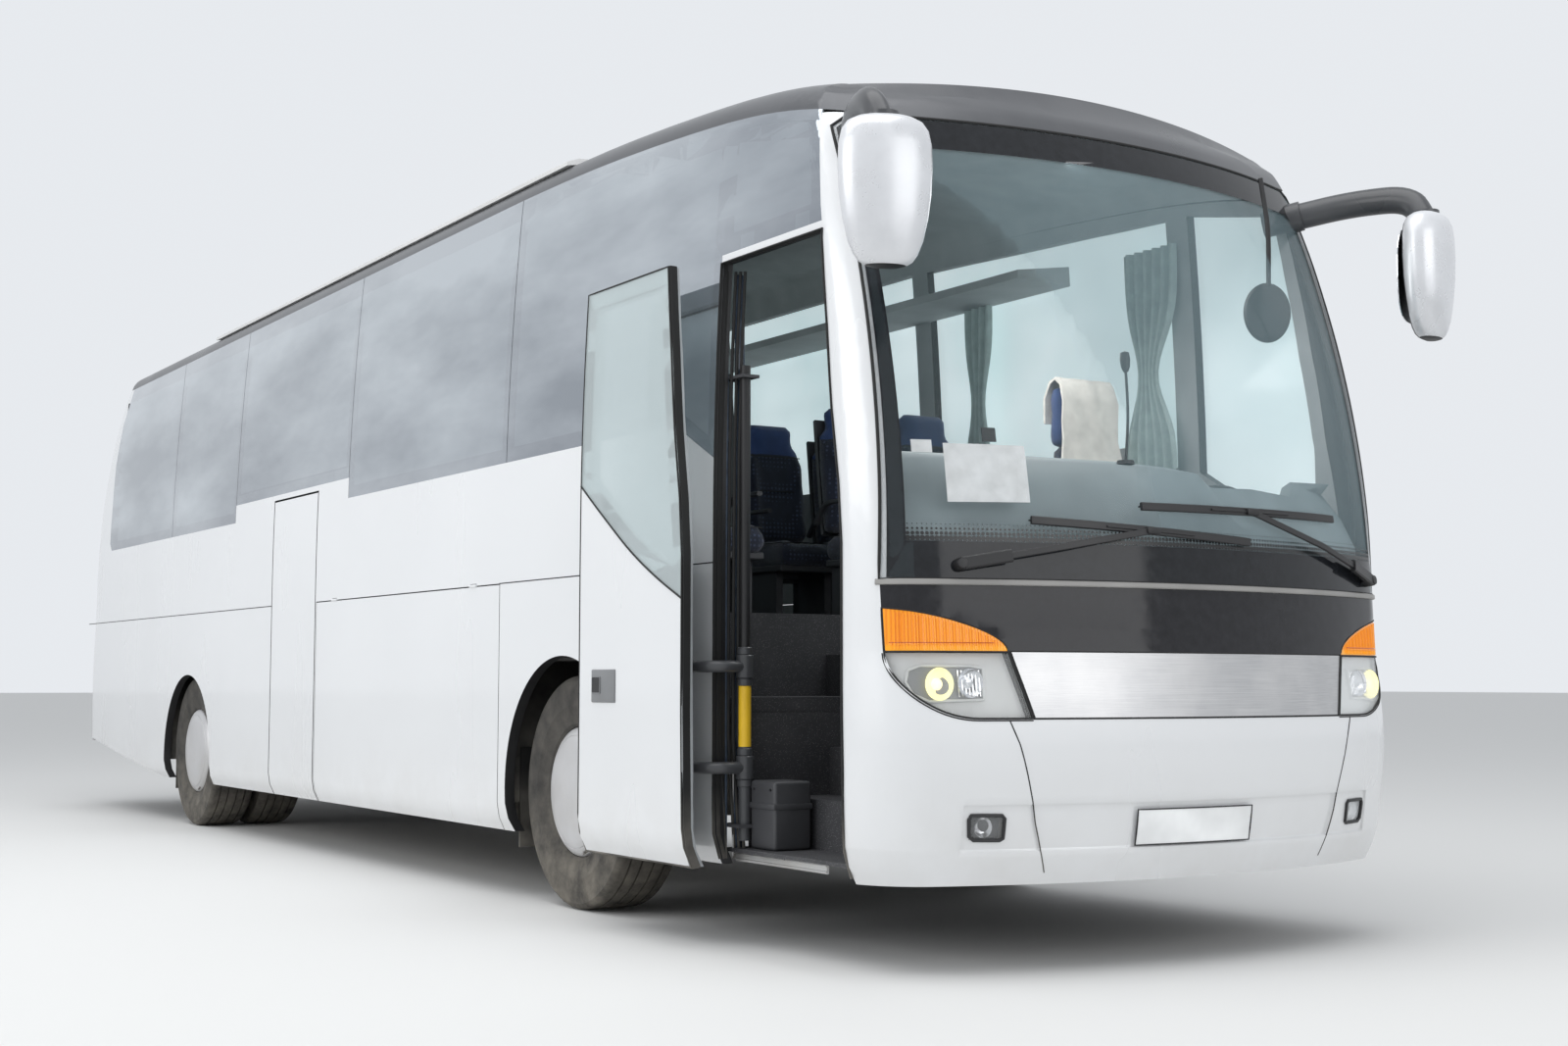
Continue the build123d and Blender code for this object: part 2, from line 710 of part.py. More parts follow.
LEAF_HOLE = [
    (PORTAL_REAR + 90, 1860),
    (AXLE + 1560, 1790),
    (AXLE + 1850, 1600),
    (AXLE + 2070, 1490),
    (pillar_x(1500, -80), 1450),
    (pillar_x(2000, -85), 2000),
    (pillar_x(2570, -85), 2570),
    (PORTAL_REAR + 90, 2570),
]
COLUMN_Y = -(HALF - COLUMN_IN)
COLUMN_LOW = 400
SHIFT = (
    ARM_L * (math.cos(math.radians(ARM_SHUT_DEG - ARM_SWING_DEG)) - math.cos(math.radians(ARM_SHUT_DEG))),
    ARM_L * (math.sin(math.radians(ARM_SHUT_DEG - ARM_SWING_DEG)) - math.sin(math.radians(ARM_SHUT_DEG))),
)
ARM_LEVELS = (680, 1070)
ARM_HALF = 20
LUG = 12


def pin_at(column_x):
    """The leaf's hinge pin when the door is shut."""
    angle = math.radians(ARM_SHUT_DEG)
    return column_x + ARM_L * math.cos(angle), COLUMN_Y + ARM_L * math.sin(angle)


def leaf_lugs(column_x):
    """Lugs and pins inside a leaf, for the two arms."""
    x, y = pin_at(column_x)
    for level in ARM_LEVELS:
        for z in (level - ARM_HALF - SEAT - LUG, level + ARM_HALF + SEAT):
            block(x - 25, x + 25, -(HALF - WALL) - 5, y + 25, z, z + LUG)
        rod((x, y, level - ARM_HALF - LUG), (x, y, level + ARM_HALF + LUG), PIN_R)


def door_arms(column_x, top):
    """A column with two bowed arms, drawn with the door shut."""
    bow = [(0, 0), (30, 95), (110, 130), (ARM_L, 0)]
    with BuildPart() as gear:
        with Locations((0, 0, (COLUMN_LOW + top) / 2)):
            Cylinder(COLUMN_R, top - COLUMN_LOW)
        for level in ARM_LEVELS:
            with BuildSketch(Plane.XY.offset(level - ARM_HALF)) as arm:
                for (u0, w0), (u1, w1) in zip(bow, bow[1:]):
                    length = math.hypot(u1 - u0, w1 - w0)
                    turn = math.degrees(math.atan2(w1 - w0, u1 - u0))
                    with Locations(Location(((u0 + u1) / 2, (w0 + w1) / 2, 0), (0, 0, turn))):
                        SlotCenterToCenter(length, 26)
                with Locations((ARM_L, 0)):
                    Circle(24)
                    Circle(PIN_R + FIT, mode=Mode.SUBTRACT)
            extrude(arm.sketch, amount=2 * ARM_HALF)
    return gear.part.rotate(Axis.Z, ARM_SHUT_DEG).moved(Location((column_x, COLUMN_Y, 0)))


def bearing(column_x, z):
    """A plate on the wall behind the portal, with a hole for a column."""
    reach = half_width(z) - WALL - SEAT
    edge = column_x - COLUMN_AHEAD - 2
    block(column_x - 110, edge, -reach, COLUMN_Y + 40, z, z + LUG)
    block(edge - 1, column_x + 40, -reach + 12, COLUMN_Y + 40, z, z + LUG)
    with Locations((column_x, COLUMN_Y, z)):
        Cylinder(COLUMN_R + FIT, 4 * LUG, mode=Mode.SUBTRACT)


FRONT_COLUMN = PORTAL_REAR + COLUMN_AHEAD
MID_COLUMN = MID_DOOR_REAR + COLUMN_AHEAD
front_shell = wall_piece(SKIN, FRONT_LEAF, -1)
front_glass = wall_piece(PANE, LEAF_GLASS, -1)
with BuildPart() as front_leaf:
    add(front_shell)
    add(front_glass, mode=Mode.SUBTRACT)
    side_shape(LEAF_HOLE, 0, -REACH, mode=Mode.SUBTRACT)
    leaf_lugs(FRONT_COLUMN)
OPENED = Location((SHIFT[0], SHIFT[1], 0))
save(front_leaf.part.moved(OPENED), "front_door")
save(front_glass.moved(OPENED), "front_door_glass")
front_gear = door_arms(FRONT_COLUMN, 2250).moved(Location((-FRONT_COLUMN, -COLUMN_Y, 0)))
save(
    front_gear.rotate(Axis.Z, -ARM_SWING_DEG).moved(Location((FRONT_COLUMN, COLUMN_Y, 0))),
    "front_door_arms",
)
with BuildPart() as mid_leaf:
    add(SKIN[1])
    block(
        MID_DOOR_REAR + DOOR_GAP, MID_DOOR_FRONT - DOOR_GAP, 0, -REACH, 0, MID_DOOR_TOP - DOOR_GAP,
        mode=Mode.INTERSECT,
    )
    leaf_lugs(MID_COLUMN)
save(mid_leaf.part, "mid_door")
save(door_arms(MID_COLUMN, 1900), "mid_door_arms")
with BuildPart() as brackets:
    for column_x, level in (
        (FRONT_COLUMN, 450), (FRONT_COLUMN, 2200), (MID_COLUMN, 450), (MID_COLUMN, 1850)
    ):
        bearing(column_x, level)
save(brackets.part, "door_brackets")

# Mirrors, wipers and what else stands outside the front
MIRROR_X = AXLE + 2655
MIRROR_Y = 1350
MIRROR_TOP = 2925
MIRROR_TOE = math.radians(20)
MIRROR_SIDES = 12
# Columns: height below the top, half width, half depth of a mirror head
MIRROR_ROWS = [
    (0, 80, 45), (25, 140, 80), (80, 165, 95), (260, 160, 92), (
        430, 130, 75
    ), (500, 95, 55), (520, 50, 32),
]
ARM_R = 45
ARM_ROUTE = [
    (AXLE + 2075, 1100, 2975), (AXLE + 2330, 1260, 3020), (AXLE + 2570, 1350, 3010), (
        MIRROR_X, MIRROR_Y, MIRROR_TOP - 40
    ),
]


def head_outline(half_y, half_x):
    """A mirror head's section, turned outwards, as (x, y) points round an oval."""
    points = []
    for i in range(MIRROR_SIDES):
        turn = 2 * math.pi * (i + 0.5) / MIRROR_SIDES
        ahead, beside = half_x * math.cos(turn), half_y * math.sin(turn)
        points.append((
            MIRROR_X + ahead * math.cos(MIRROR_TOE) - beside * math.sin(MIRROR_TOE),
            MIRROR_Y + ahead * math.sin(MIRROR_TOE) + beside * math.cos(MIRROR_TOE),
        ))
    return points


with BuildPart() as mirror_head:
    for drop, half_y, half_x in MIRROR_ROWS:
        with BuildSketch(Plane.XY.offset(MIRROR_TOP - drop)):
            with BuildLine():
                Polyline(*head_outline(half_y, half_x), close=True)
            make_face()
    loft(ruled=True)
with BuildPart() as mirror_right:
    for a, b in zip(ARM_ROUTE, ARM_ROUTE[1:]):
        rod(a, b, ARM_R)
    with Locations(*ARM_ROUTE[1:-1]):
        Sphere(ARM_R)
    add(mirror_head.part)
    add(OUTER[0], mode=Mode.SUBTRACT)
with BuildPart() as mirrors:
    add(mirror_right.part)
    mirror(about=Plane.XZ)
save(mirrors.part, "mirrors")

# Columns: pivot's place across, then the blade's inner and outer ends across and their heights
WIPERS = [(-985, -720, 250, 1500, 1616), (1095, 810, -270, 1650, 1643)]
WIPER_Z = 1420
WIPER_R = 12
WIPER_SPINDLE_R = 18
BLADE_LIFT = 18
ARM_LIFT = 50
BLADE_STEPS = 4


def over_nose(y, z, lift):
    """A point at a distance ahead of the nose's surface."""
    for (low, set_low, _), (high, set_high, _) in zip(NOSE_ROWS, NOSE_ROWS[1:]):
        if z <= high:
            break
    setback = set_low + (set_high - set_low) * (z - low) / (high - low)
    return FRONT_X - setback - PLAN_R_FRONT + math.sqrt(PLAN_R_FRONT ** 2 - y ** 2) + lift, y, z


with BuildPart() as wipers:
    for pivot, y0, y1, z0, z1 in WIPERS:
        middle_y, middle_z = (y0 + y1) / 2, (z0 + z1) / 2
        elbow = over_nose((pivot + middle_y) / 2, (WIPER_Z + middle_z) / 2, ARM_LIFT)
        hub = over_nose(pivot, WIPER_Z, ARM_LIFT - WIPER_SPINDLE_R)
        rod(over_nose(pivot, WIPER_Z, -WALL / 2), over_nose(pivot, WIPER_Z, ARM_LIFT), WIPER_SPINDLE_R)
        rod(hub, elbow, WIPER_R)
        rod(elbow, over_nose(middle_y, middle_z, BLADE_LIFT), WIPER_R)
        step_y, step_z = (y1 - y0) / BLADE_STEPS, (z1 - z0) / BLADE_STEPS
        stations = [(y0 + step_y * i, z0 + step_z * i) for i in range(BLADE_STEPS + 1)]
        for start, end in zip(stations, stations[1:]):
            rod(over_nose(*start, BLADE_LIFT), over_nose(*end, BLADE_LIFT), WIPER_R)
    add(OUTER[0], mode=Mode.SUBTRACT)
save(wipers.part, "wipers")

# Cab floor, cabin floor and the steps up to them
INSIDE = HALF - WALL - SEAT
FLOOR_T = 60
CAB_BACK = AXLE + 900
PORTAL_FRONT = AXLE + 2280
STAIR = (PORTAL_REAR - 30, PORTAL_FRONT)
STAIR_IN = -470
MID_WELL = (MID_DOOR_REAR - 10, MID_DOOR_FRONT + 10)
MID_WELL_IN = -480
STEP_OUT = -INSIDE + 30
with BuildPart() as cabin_floor:
    block(REAR_X + 420, CAB_BACK, -INSIDE, INSIDE, FLOOR_Z - FLOOR_T, FLOOR_Z)
    block(*MID_WELL, -INSIDE, MID_WELL_IN, 0, 2 * FLOOR_Z, mode=Mode.SUBTRACT)
save(cabin_floor.part, "cabin_floor")
with BuildPart() as cab_nose:
    block(PORTAL_REAR, FRONT_X, -HALF, HALF, CAB_Z - FLOOR_T, CAB_Z)
    add(INNER[0], mode=Mode.INTERSECT)
with BuildPart() as cab_floor:
    block(CAB_BACK - 20, PORTAL_REAR, -INSIDE, INSIDE, CAB_Z - FLOOR_T, CAB_Z)
    block(CAB_BACK - 20, CAB_BACK, -INSIDE, INSIDE, CAB_Z, FLOOR_Z - FLOOR_T)
    add(cab_nose.part)
    block(*STAIR, -HALF, STAIR_IN, 0, 2 * FLOOR_Z, mode=Mode.SUBTRACT)
    block(CAB_BACK + SEAT, CAB_BACK + 300, STAIR_IN + 20, -STAIR_IN - 20, CAB_Z, CAB_Z + 175)
save(cab_floor.part, "cab_floor")


def stairs(well, treads, inner, top):
    """Steps that climb inwards from a door, between two side plates; treads as (outer edge, height)."""
    x0, x1 = well[0] + SEAT, well[1] - SEAT
    edge = inner - SHEET - SEAT
    corners = treads + [(edge, top)]
    with BuildPart() as flight:
        for (y0, z0), (y1, z1) in zip(corners, corners[1:]):
            block(x0, x1, y0, y1 + SHEET, z0 - SHEET, z0)
            block(x0, x1, y1, y1 + SHEET, z0 - SHEET, z1)
        for x in (x0, x1 - SHEET):
            for (y0, z0), (y1, z1) in zip(corners, corners[1:]):
                block(x, x + SHEET, max(y0, STEP_OUT + 95), y1 + SHEET, z0 - SHEET, top - FLOOR_T - SEAT)
    return flight.part


FRONT_TREADS = [(STEP_OUT, 370), (-960, 560), (-730, 750)]
MID_TREADS = [(STEP_OUT, 370), (-1000, 600), (-830, 830), (-660, 1060)]
save(stairs(STAIR, FRONT_TREADS, STAIR_IN, CAB_Z), "front_steps")
save(stairs(MID_WELL, MID_TREADS, MID_WELL_IN, FLOOR_Z), "mid_steps")

# Seats, racks, dashboard and steering wheel
ROW_PITCH = 790
FIRST_ROW = REAR_X + 1000
ROWS = 11
SEAT_W = 440
SEAT_YS = (480, 940)
# Columns: distance ahead of the row's line, height above the floor
SEAT_SHAPE = [
    (60, 0), (400, 0), (400, 300), (480, 330), (490, 440), (130, 430), (10, 1130), (-70, 1120),
    (-20, 400), (60, 330),
]
with BuildPart() as seats:
    for side in (-1, 1):
        for row in range(ROWS):
            x = FIRST_ROW + row * ROW_PITCH
            over_well = side < 0 and MID_WELL[0] - 560 < x < MID_WELL[1] + 90
            if not over_well:
                for y in SEAT_YS:
                    line = [(x + ahead, FLOOR_Z + z) for ahead, z in SEAT_SHAPE]
                    side_shape(line, side * y - SEAT_W / 2, side * y + SEAT_W / 2)
    side_shape([(AXLE + 1330 + ahead, CAB_Z + z) for ahead, z in SEAT_SHAPE], 380, 860)
save(seats.part, "seats")
RACK = [(850, 2960), (1250, 2950), (1250, 3060), (850, 3000)]
RACK_SPAN = (GLASS_REAR + 400, AXLE + 600)
with BuildPart() as racks:
    for side in (-1, 1):
        front_shape([(side * y, z) for y, z in RACK], *RACK_SPAN)
    block(*RACK_SPAN, -HALF, HALF, 2900, 3100, mode=Mode.INTERSECT)
rack_lengths = [racks.part.intersect(INNER[1]), racks.part.intersect(INNER[2])]
with BuildPart() as fitted_racks:
    for part in rack_lengths:
        add(part)
save(fitted_racks.part, "luggage_racks")
DASH = [
    (AXLE + 2260, CAB_Z), (AXLE + 2260, 1300), (AXLE + 2180, 1400), (AXLE + 2300, 1480),
    (AXLE + 2560, 1440), (FRONT_X, 1330), (FRONT_X, CAB_Z),
]
with BuildPart() as dash:
    side_shape(DASH, -1130, HALF)
    block(AXLE, STAIR[1] + 10, -HALF, STAIR_IN + 60, 0, 1700, mode=Mode.SUBTRACT)
    add(INNER[0], mode=Mode.INTERSECT)
save(dash.part, "dashboard")
WHEEL_AT = (AXLE + 2010, 620, CAB_Z + 730)
WHEEL_TILT = (-0.5, 0, 0.866)
COLUMN_L = 560
with BuildPart() as rim:
    with BuildSketch(Plane.XZ) as rim_section:
        with Locations((225, 0)):
            RegularPolygon(15, 6)
    revolve(rim_section.sketch, axis=Axis.Z)
with BuildPart() as steering:
    add(rim.part.moved(Plane(origin=WHEEL_AT, z_dir=WHEEL_TILT).location))
    with Locations(Plane(origin=WHEEL_AT, z_dir=WHEEL_TILT).location):
        Cylinder(55, 40)
        Box(440, 40, 16)
        with Locations((0, 0, -COLUMN_L / 2)):
            Cylinder(32, COLUMN_L)
    add(dash.part, mode=Mode.SUBTRACT)
save(steering.part, "steering_wheel")

# Running gear
EYE_R = 45
EYE_HALF = 55
LUG_T = 40
KING_R = 20
SPINDLE_R = 40
AXLE_TUBE_R = 95
REAR_SPINDLE_R = 60
DRIVE_R = 175
DRIVE_HALF = 110
HUB_IN = -20
SPINDLE_END = 20
SHOULDER = 22
DISC = (40, 60)
SPRING_R = 110
SPRING_Y = 420
RIM_IN = 262
RIM_HALF = 115
RAIL_Y = (380, 460)
RAIL_Z = (700, 860)


def turned(points):
    """A solid turned about the Y axis from (radius, y) points."""
    with BuildPart() as solid:
        with BuildSketch() as profile:
            with BuildLine():
                Polyline(*points, close=True)
            make_face()
        revolve(profile.sketch, axis=Axis.Y)
    return solid.part


def tyre(shoulder):
    """A tyre as a solid ring in the XZ plane, with a sloped edge of this size at its outer side."""
    half = TYRE_W / 2
    edge = [(TYRE_R, half - shoulder), (TYRE_R - shoulder, half)] if shoulder else [(TYRE_R, half)]
    return turned([(RIM_R, -half), (TYRE_R, -half)] + edge + [(RIM_R, half)])


def on_side(part, side, x, y):
    """A wheel piece put on the left, or turned about for the right."""
    return part.rotate(Axis.Z, 0 if side > 0 else 180).moved(Location((x, side * y, TYRE_R)))


rim_r = RIM_R - FIT
COVER = [(rim_r, RIM_HALF), (250, 140), (0, 158)]
front_rim = turned(
    [
        (SPINDLE_R + FIT, HUB_IN), (90, HUB_IN), (90, DISC[0]), (RIM_IN, DISC[0]), (RIM_IN, -RIM_HALF),
        (rim_r, -RIM_HALF),
    ]
    + COVER
    + [(0, DISC[1]), (SPINDLE_R + FIT, DISC[1])]
)
TWIN_IN = REAR_INNER_Y - REAR_OUTER_Y
TWIN_DISC = TWIN_IN / 2 - 20
TWIN_HUB = TWIN_IN - 60
twin_rim = turned(
    [(REAR_SPINDLE_R + FIT, TWIN_HUB), (140, TWIN_HUB), (140, TWIN_DISC), (RIM_IN, TWIN_DISC)]
    + [(RIM_IN, TWIN_IN - RIM_HALF), (rim_r, TWIN_IN - RIM_HALF)]
    + COVER
    + [(0, SPINDLE_END), (REAR_SPINDLE_R + FIT, SPINDLE_END)]
)
front_tyre, rear_tyre = tyre(SHOULDER), tyre(0)
with BuildPart() as twin_tyres:
    add(rear_tyre)
    add(rear_tyre.moved(Location((0, TWIN_IN, 0))))
PLATE = (-60, -38)
with BuildPart() as knuckle:
    king_y = KINGPIN_Y - FRONT_TRACK_HALF
    lug_top = EYE_HALF + SEAT + LUG_T
    with Locations((0, king_y, 0)):
        Cylinder(KING_R, 2 * lug_top)
    for z in (-1, 1):
        mid_z = z * (EYE_HALF + SEAT + LUG_T / 2)
        with Locations((0, king_y, mid_z)):
            Cylinder(EYE_R, LUG_T)
        block(-EYE_R, EYE_R, king_y, PLATE[1], mid_z - LUG_T / 2, mid_z + LUG_T / 2)
    block(-EYE_R, EYE_R, *PLATE, -lug_top, lug_top)
    rod((0, PLATE[1], 0), (0, HUB_IN - SEAT, 0), 75)
    rod((0, PLATE[1], 0), (0, DISC[1] - 5, 0), SPINDLE_R)
for side in (-1, 1):
    save(on_side(front_tyre, side, AXLE, FRONT_TRACK_HALF), f"tyre_front_{NAMES[side]}")
    save(on_side(front_rim, side, AXLE, FRONT_TRACK_HALF), f"wheel_front_{NAMES[side]}")
    save(on_side(knuckle.part, side, AXLE, FRONT_TRACK_HALF), f"knuckle_{NAMES[side]}")
    save(on_side(twin_tyres.part, side, REAR_AXLE, REAR_OUTER_Y), f"tyres_rear_{NAMES[side]}")
    save(on_side(twin_rim, side, REAR_AXLE, REAR_OUTER_Y), f"wheels_rear_{NAMES[side]}")

with BuildPart() as front_axle:
    block(AXLE - EYE_R, AXLE + EYE_R, -KINGPIN_Y, KINGPIN_Y, TYRE_R - 40, TYRE_R + 40)
    with Locations((AXLE, -KINGPIN_Y, TYRE_R), (AXLE, KINGPIN_Y, TYRE_R)):
        Cylinder(EYE_R, 2 * EYE_HALF)
        Cylinder(KING_R + FIT, 2 * EYE_HALF, mode=Mode.SUBTRACT)
save(front_axle.part, "front_axle")
with BuildPart() as rear_axle:
    end = REAR_OUTER_Y + SPINDLE_END / 2
    rod((REAR_AXLE, -end, TYRE_R), (REAR_AXLE, end, TYRE_R), REAR_SPINDLE_R)
    end = REAR_INNER_Y - 200
    rod((REAR_AXLE, -end, TYRE_R), (REAR_AXLE, end, TYRE_R), AXLE_TUBE_R)
    rod((REAR_AXLE - DRIVE_HALF, 0, TYRE_R), (REAR_AXLE + DRIVE_HALF, 0, TYRE_R), DRIVE_R)
save(rear_axle.part, "rear_axle")
with BuildPart() as springs:
    for x, low in ((AXLE, TYRE_R + 40), (REAR_AXLE, TYRE_R)):
        for side in (-1, 1):
            rod((x, side * SPRING_Y, low), (x, side * SPRING_Y, RAIL_Z[0]), SPRING_R)
            if x == REAR_AXLE:
                block(
                    x - 150, x + 150, side * (SPRING_Y - SPRING_R), side * (SPRING_Y + SPRING_R),
                    TYRE_R - 100, TYRE_R + 60, mode=Mode.SUBTRACT,
                )
    add(rear_axle.part, mode=Mode.SUBTRACT)
save(springs.part, "air_springs")

# Frame, luggage hold, housings and engine
HOLD = (REAR_AXLE + 690, AXLE - 690)
HOLD_HALF = INSIDE - 40
FRAME_FRONT = PORTAL_REAR
FRAME_REAR = REAR_X + 420
CROSS = 100
with BuildPart() as rail_nose:
    for side in (-1, 1):
        block(PORTAL_REAR, FRONT_X, side * RAIL_Y[0], side * RAIL_Y[1], *RAIL_Z)
    add(INNER[0], mode=Mode.INTERSECT)
with BuildPart() as frame:
    for x0, x1 in ((FRAME_REAR, HOLD[0]), (HOLD[1], FRAME_FRONT)):
        for side in (-1, 1):
            block(x0, x1, side * RAIL_Y[0], side * RAIL_Y[1], *RAIL_Z)
    add(rail_nose.part)
    for x in (
        FRAME_REAR, REAR_AXLE - 420, REAR_AXLE + 320, AXLE - 420, AXLE + 320, PORTAL_REAR,
        PORTAL_FRONT + 40,
    ):
        block(x, x + CROSS, -RAIL_Y[0], RAIL_Y[0], *RAIL_Z)
    for x in (HOLD[0] - SHEET, HOLD[1]):
        block(x, x + SHEET, -INSIDE, INSIDE, TUCK_Z, FLOOR_Z - FLOOR_T)
        block(x, x + SHEET, -HOLD_HALF, HOLD_HALF, HOLD_Z - 40, TUCK_Z)
    block(*HOLD, -HOLD_HALF, HOLD_HALF, HOLD_Z - 40, HOLD_Z)
    block(*MID_WELL, -HALF, -980, 0, HOLD_Z + 1, mode=Mode.SUBTRACT)
    for x in (FRAME_REAR, REAR_AXLE - 900, AXLE + 700):
        block(x, x + SHEET, -RAIL_Y[1], RAIL_Y[1], RAIL_Z[1], FLOOR_Z - FLOOR_T)
    for side in (-1, 1):
        block(CAB_BACK, STAIR[0], side * RAIL_Y[0], side * RAIL_Y[1], RAIL_Z[1], CAB_Z - FLOOR_T)
        block(FRAME_REAR, FRAME_REAR + CROSS, side * RAIL_Y[0], side * INSIDE, *RAIL_Z)
save(frame.part, "chassis_frame")
# Columns: axle, half length, inner face, half width of the axle's passage
HOUSINGS = [(AXLE, 660, 540, 70), (REAR_AXLE, 610, 540, 130)]
HOUSING_TOP = 1120
with BuildPart() as housings:
    for x, half, inner_y, passage in HOUSINGS:
        for side in (-1, 1):
            block(x - half, x + half, side * inner_y, side * INSIDE, TUCK_Z, HOUSING_TOP)
            hollow = side * (inner_y + SHEET)
            block(
                x - half + SHEET, x + half - SHEET, hollow, side * HALF, TUCK_Z, HOUSING_TOP - SHEET,
                mode=Mode.SUBTRACT,
            )
            block(
                x - passage, x + passage, side * (inner_y - 1), hollow, TUCK_Z, TYRE_R + passage,
                mode=Mode.SUBTRACT,
            )
save(housings.part, "wheel_housings")
with BuildPart() as engine:
    half = RAIL_Y[0] - SEAT
    block(FRAME_REAR + CROSS + SEAT, REAR_AXLE - 960, -half, half, 480, RAIL_Z[1] + 200)
save(engine.part, "engine")
# Columns: housing's rear face, inner and outer edge of the flap
MUD_FLAPS = [(AXLE - 660, 915, 1180), (REAR_AXLE - 610, 600, 1180)]
with BuildPart() as mud_flaps:
    for x, y0, y1 in MUD_FLAPS:
        for side in (-1, 1):
            block(x + SHEET + SEAT, x + SHEET + SEAT + 8, side * y0, side * y1, 230, 700)
save(mud_flaps.part, "mud_flaps")
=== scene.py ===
"""The looks of a two-axle touring coach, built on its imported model.

Metres, with +X forward, +Y to the coach's left, +Z up and the ground at zero.
"""
import math

import bmesh
import bpy
from mathutils import Matrix, Vector
from mathutils.bvhtree import BVHTree


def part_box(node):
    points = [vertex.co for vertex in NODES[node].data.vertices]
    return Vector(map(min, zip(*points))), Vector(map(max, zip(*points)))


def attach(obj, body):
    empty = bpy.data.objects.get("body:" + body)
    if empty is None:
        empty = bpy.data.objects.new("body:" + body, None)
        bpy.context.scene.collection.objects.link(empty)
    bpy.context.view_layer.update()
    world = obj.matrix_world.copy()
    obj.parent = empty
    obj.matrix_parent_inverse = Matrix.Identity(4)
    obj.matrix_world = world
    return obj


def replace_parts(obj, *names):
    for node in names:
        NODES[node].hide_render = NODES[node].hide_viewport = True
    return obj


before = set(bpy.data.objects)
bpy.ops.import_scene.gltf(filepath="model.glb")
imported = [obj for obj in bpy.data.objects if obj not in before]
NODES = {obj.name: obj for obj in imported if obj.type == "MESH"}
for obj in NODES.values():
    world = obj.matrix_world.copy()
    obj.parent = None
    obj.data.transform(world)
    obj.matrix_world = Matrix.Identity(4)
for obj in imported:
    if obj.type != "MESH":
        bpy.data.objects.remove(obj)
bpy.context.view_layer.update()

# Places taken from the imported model
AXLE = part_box("front_axle")[0].x + 0.045
REAR_AXLE = sum(corner.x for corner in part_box("rear_axle")) / 2
FRONT_X = 6.0
REAR_X = -6.0
HALF = 1.275
TYRE_R = 0.52
SEAM_Z = 1.475
CROWN_Z = 3.545
FLOOR_Z = 1.3
CAB_Z = 0.95
STRIP_LOW = 0.886
STRIP_HIGH = 1.117
SCREEN_BASE = 1.36
SCREEN_TOP = 3.118
PORTAL_REAR = AXLE + 1.37
PORTAL_TOP = 2.66

SIDES = (-1, 1)
AHEAD = Vector((1.0, 0.0, 0.0))
LEFT = Vector((0.0, 1.0, 0.0))
UP = Vector((0.0, 0.0, 1.0))


# Shader maths, written as expressions on sockets

class Value:
    """A number or vector socket that can be used in a sum."""

    def __init__(self, shader, socket):
        self.shader = shader
        self.socket = socket

    def _math(self, operation, *values):
        return self.shader.node("ShaderNodeMath", {"operation": operation}, values)

    def __add__(self, other):
        return self._math("ADD", self, other)

    def __sub__(self, other):
        return self._math("SUBTRACT", self, other)

    def __rsub__(self, other):
        return self._math("SUBTRACT", other, self)

    def __mul__(self, other):
        return self._math("MULTIPLY", self, other)

    def __lt__(self, other):
        return self._math("LESS_THAN", self, other)

    def wave(self):
        return self._math("SINE", self)

    def fraction(self):
        return self._math("FRACT", self)

    def root(self):
        return self._math("SQRT", self)

    __radd__ = __add__
    __rmul__ = __mul__


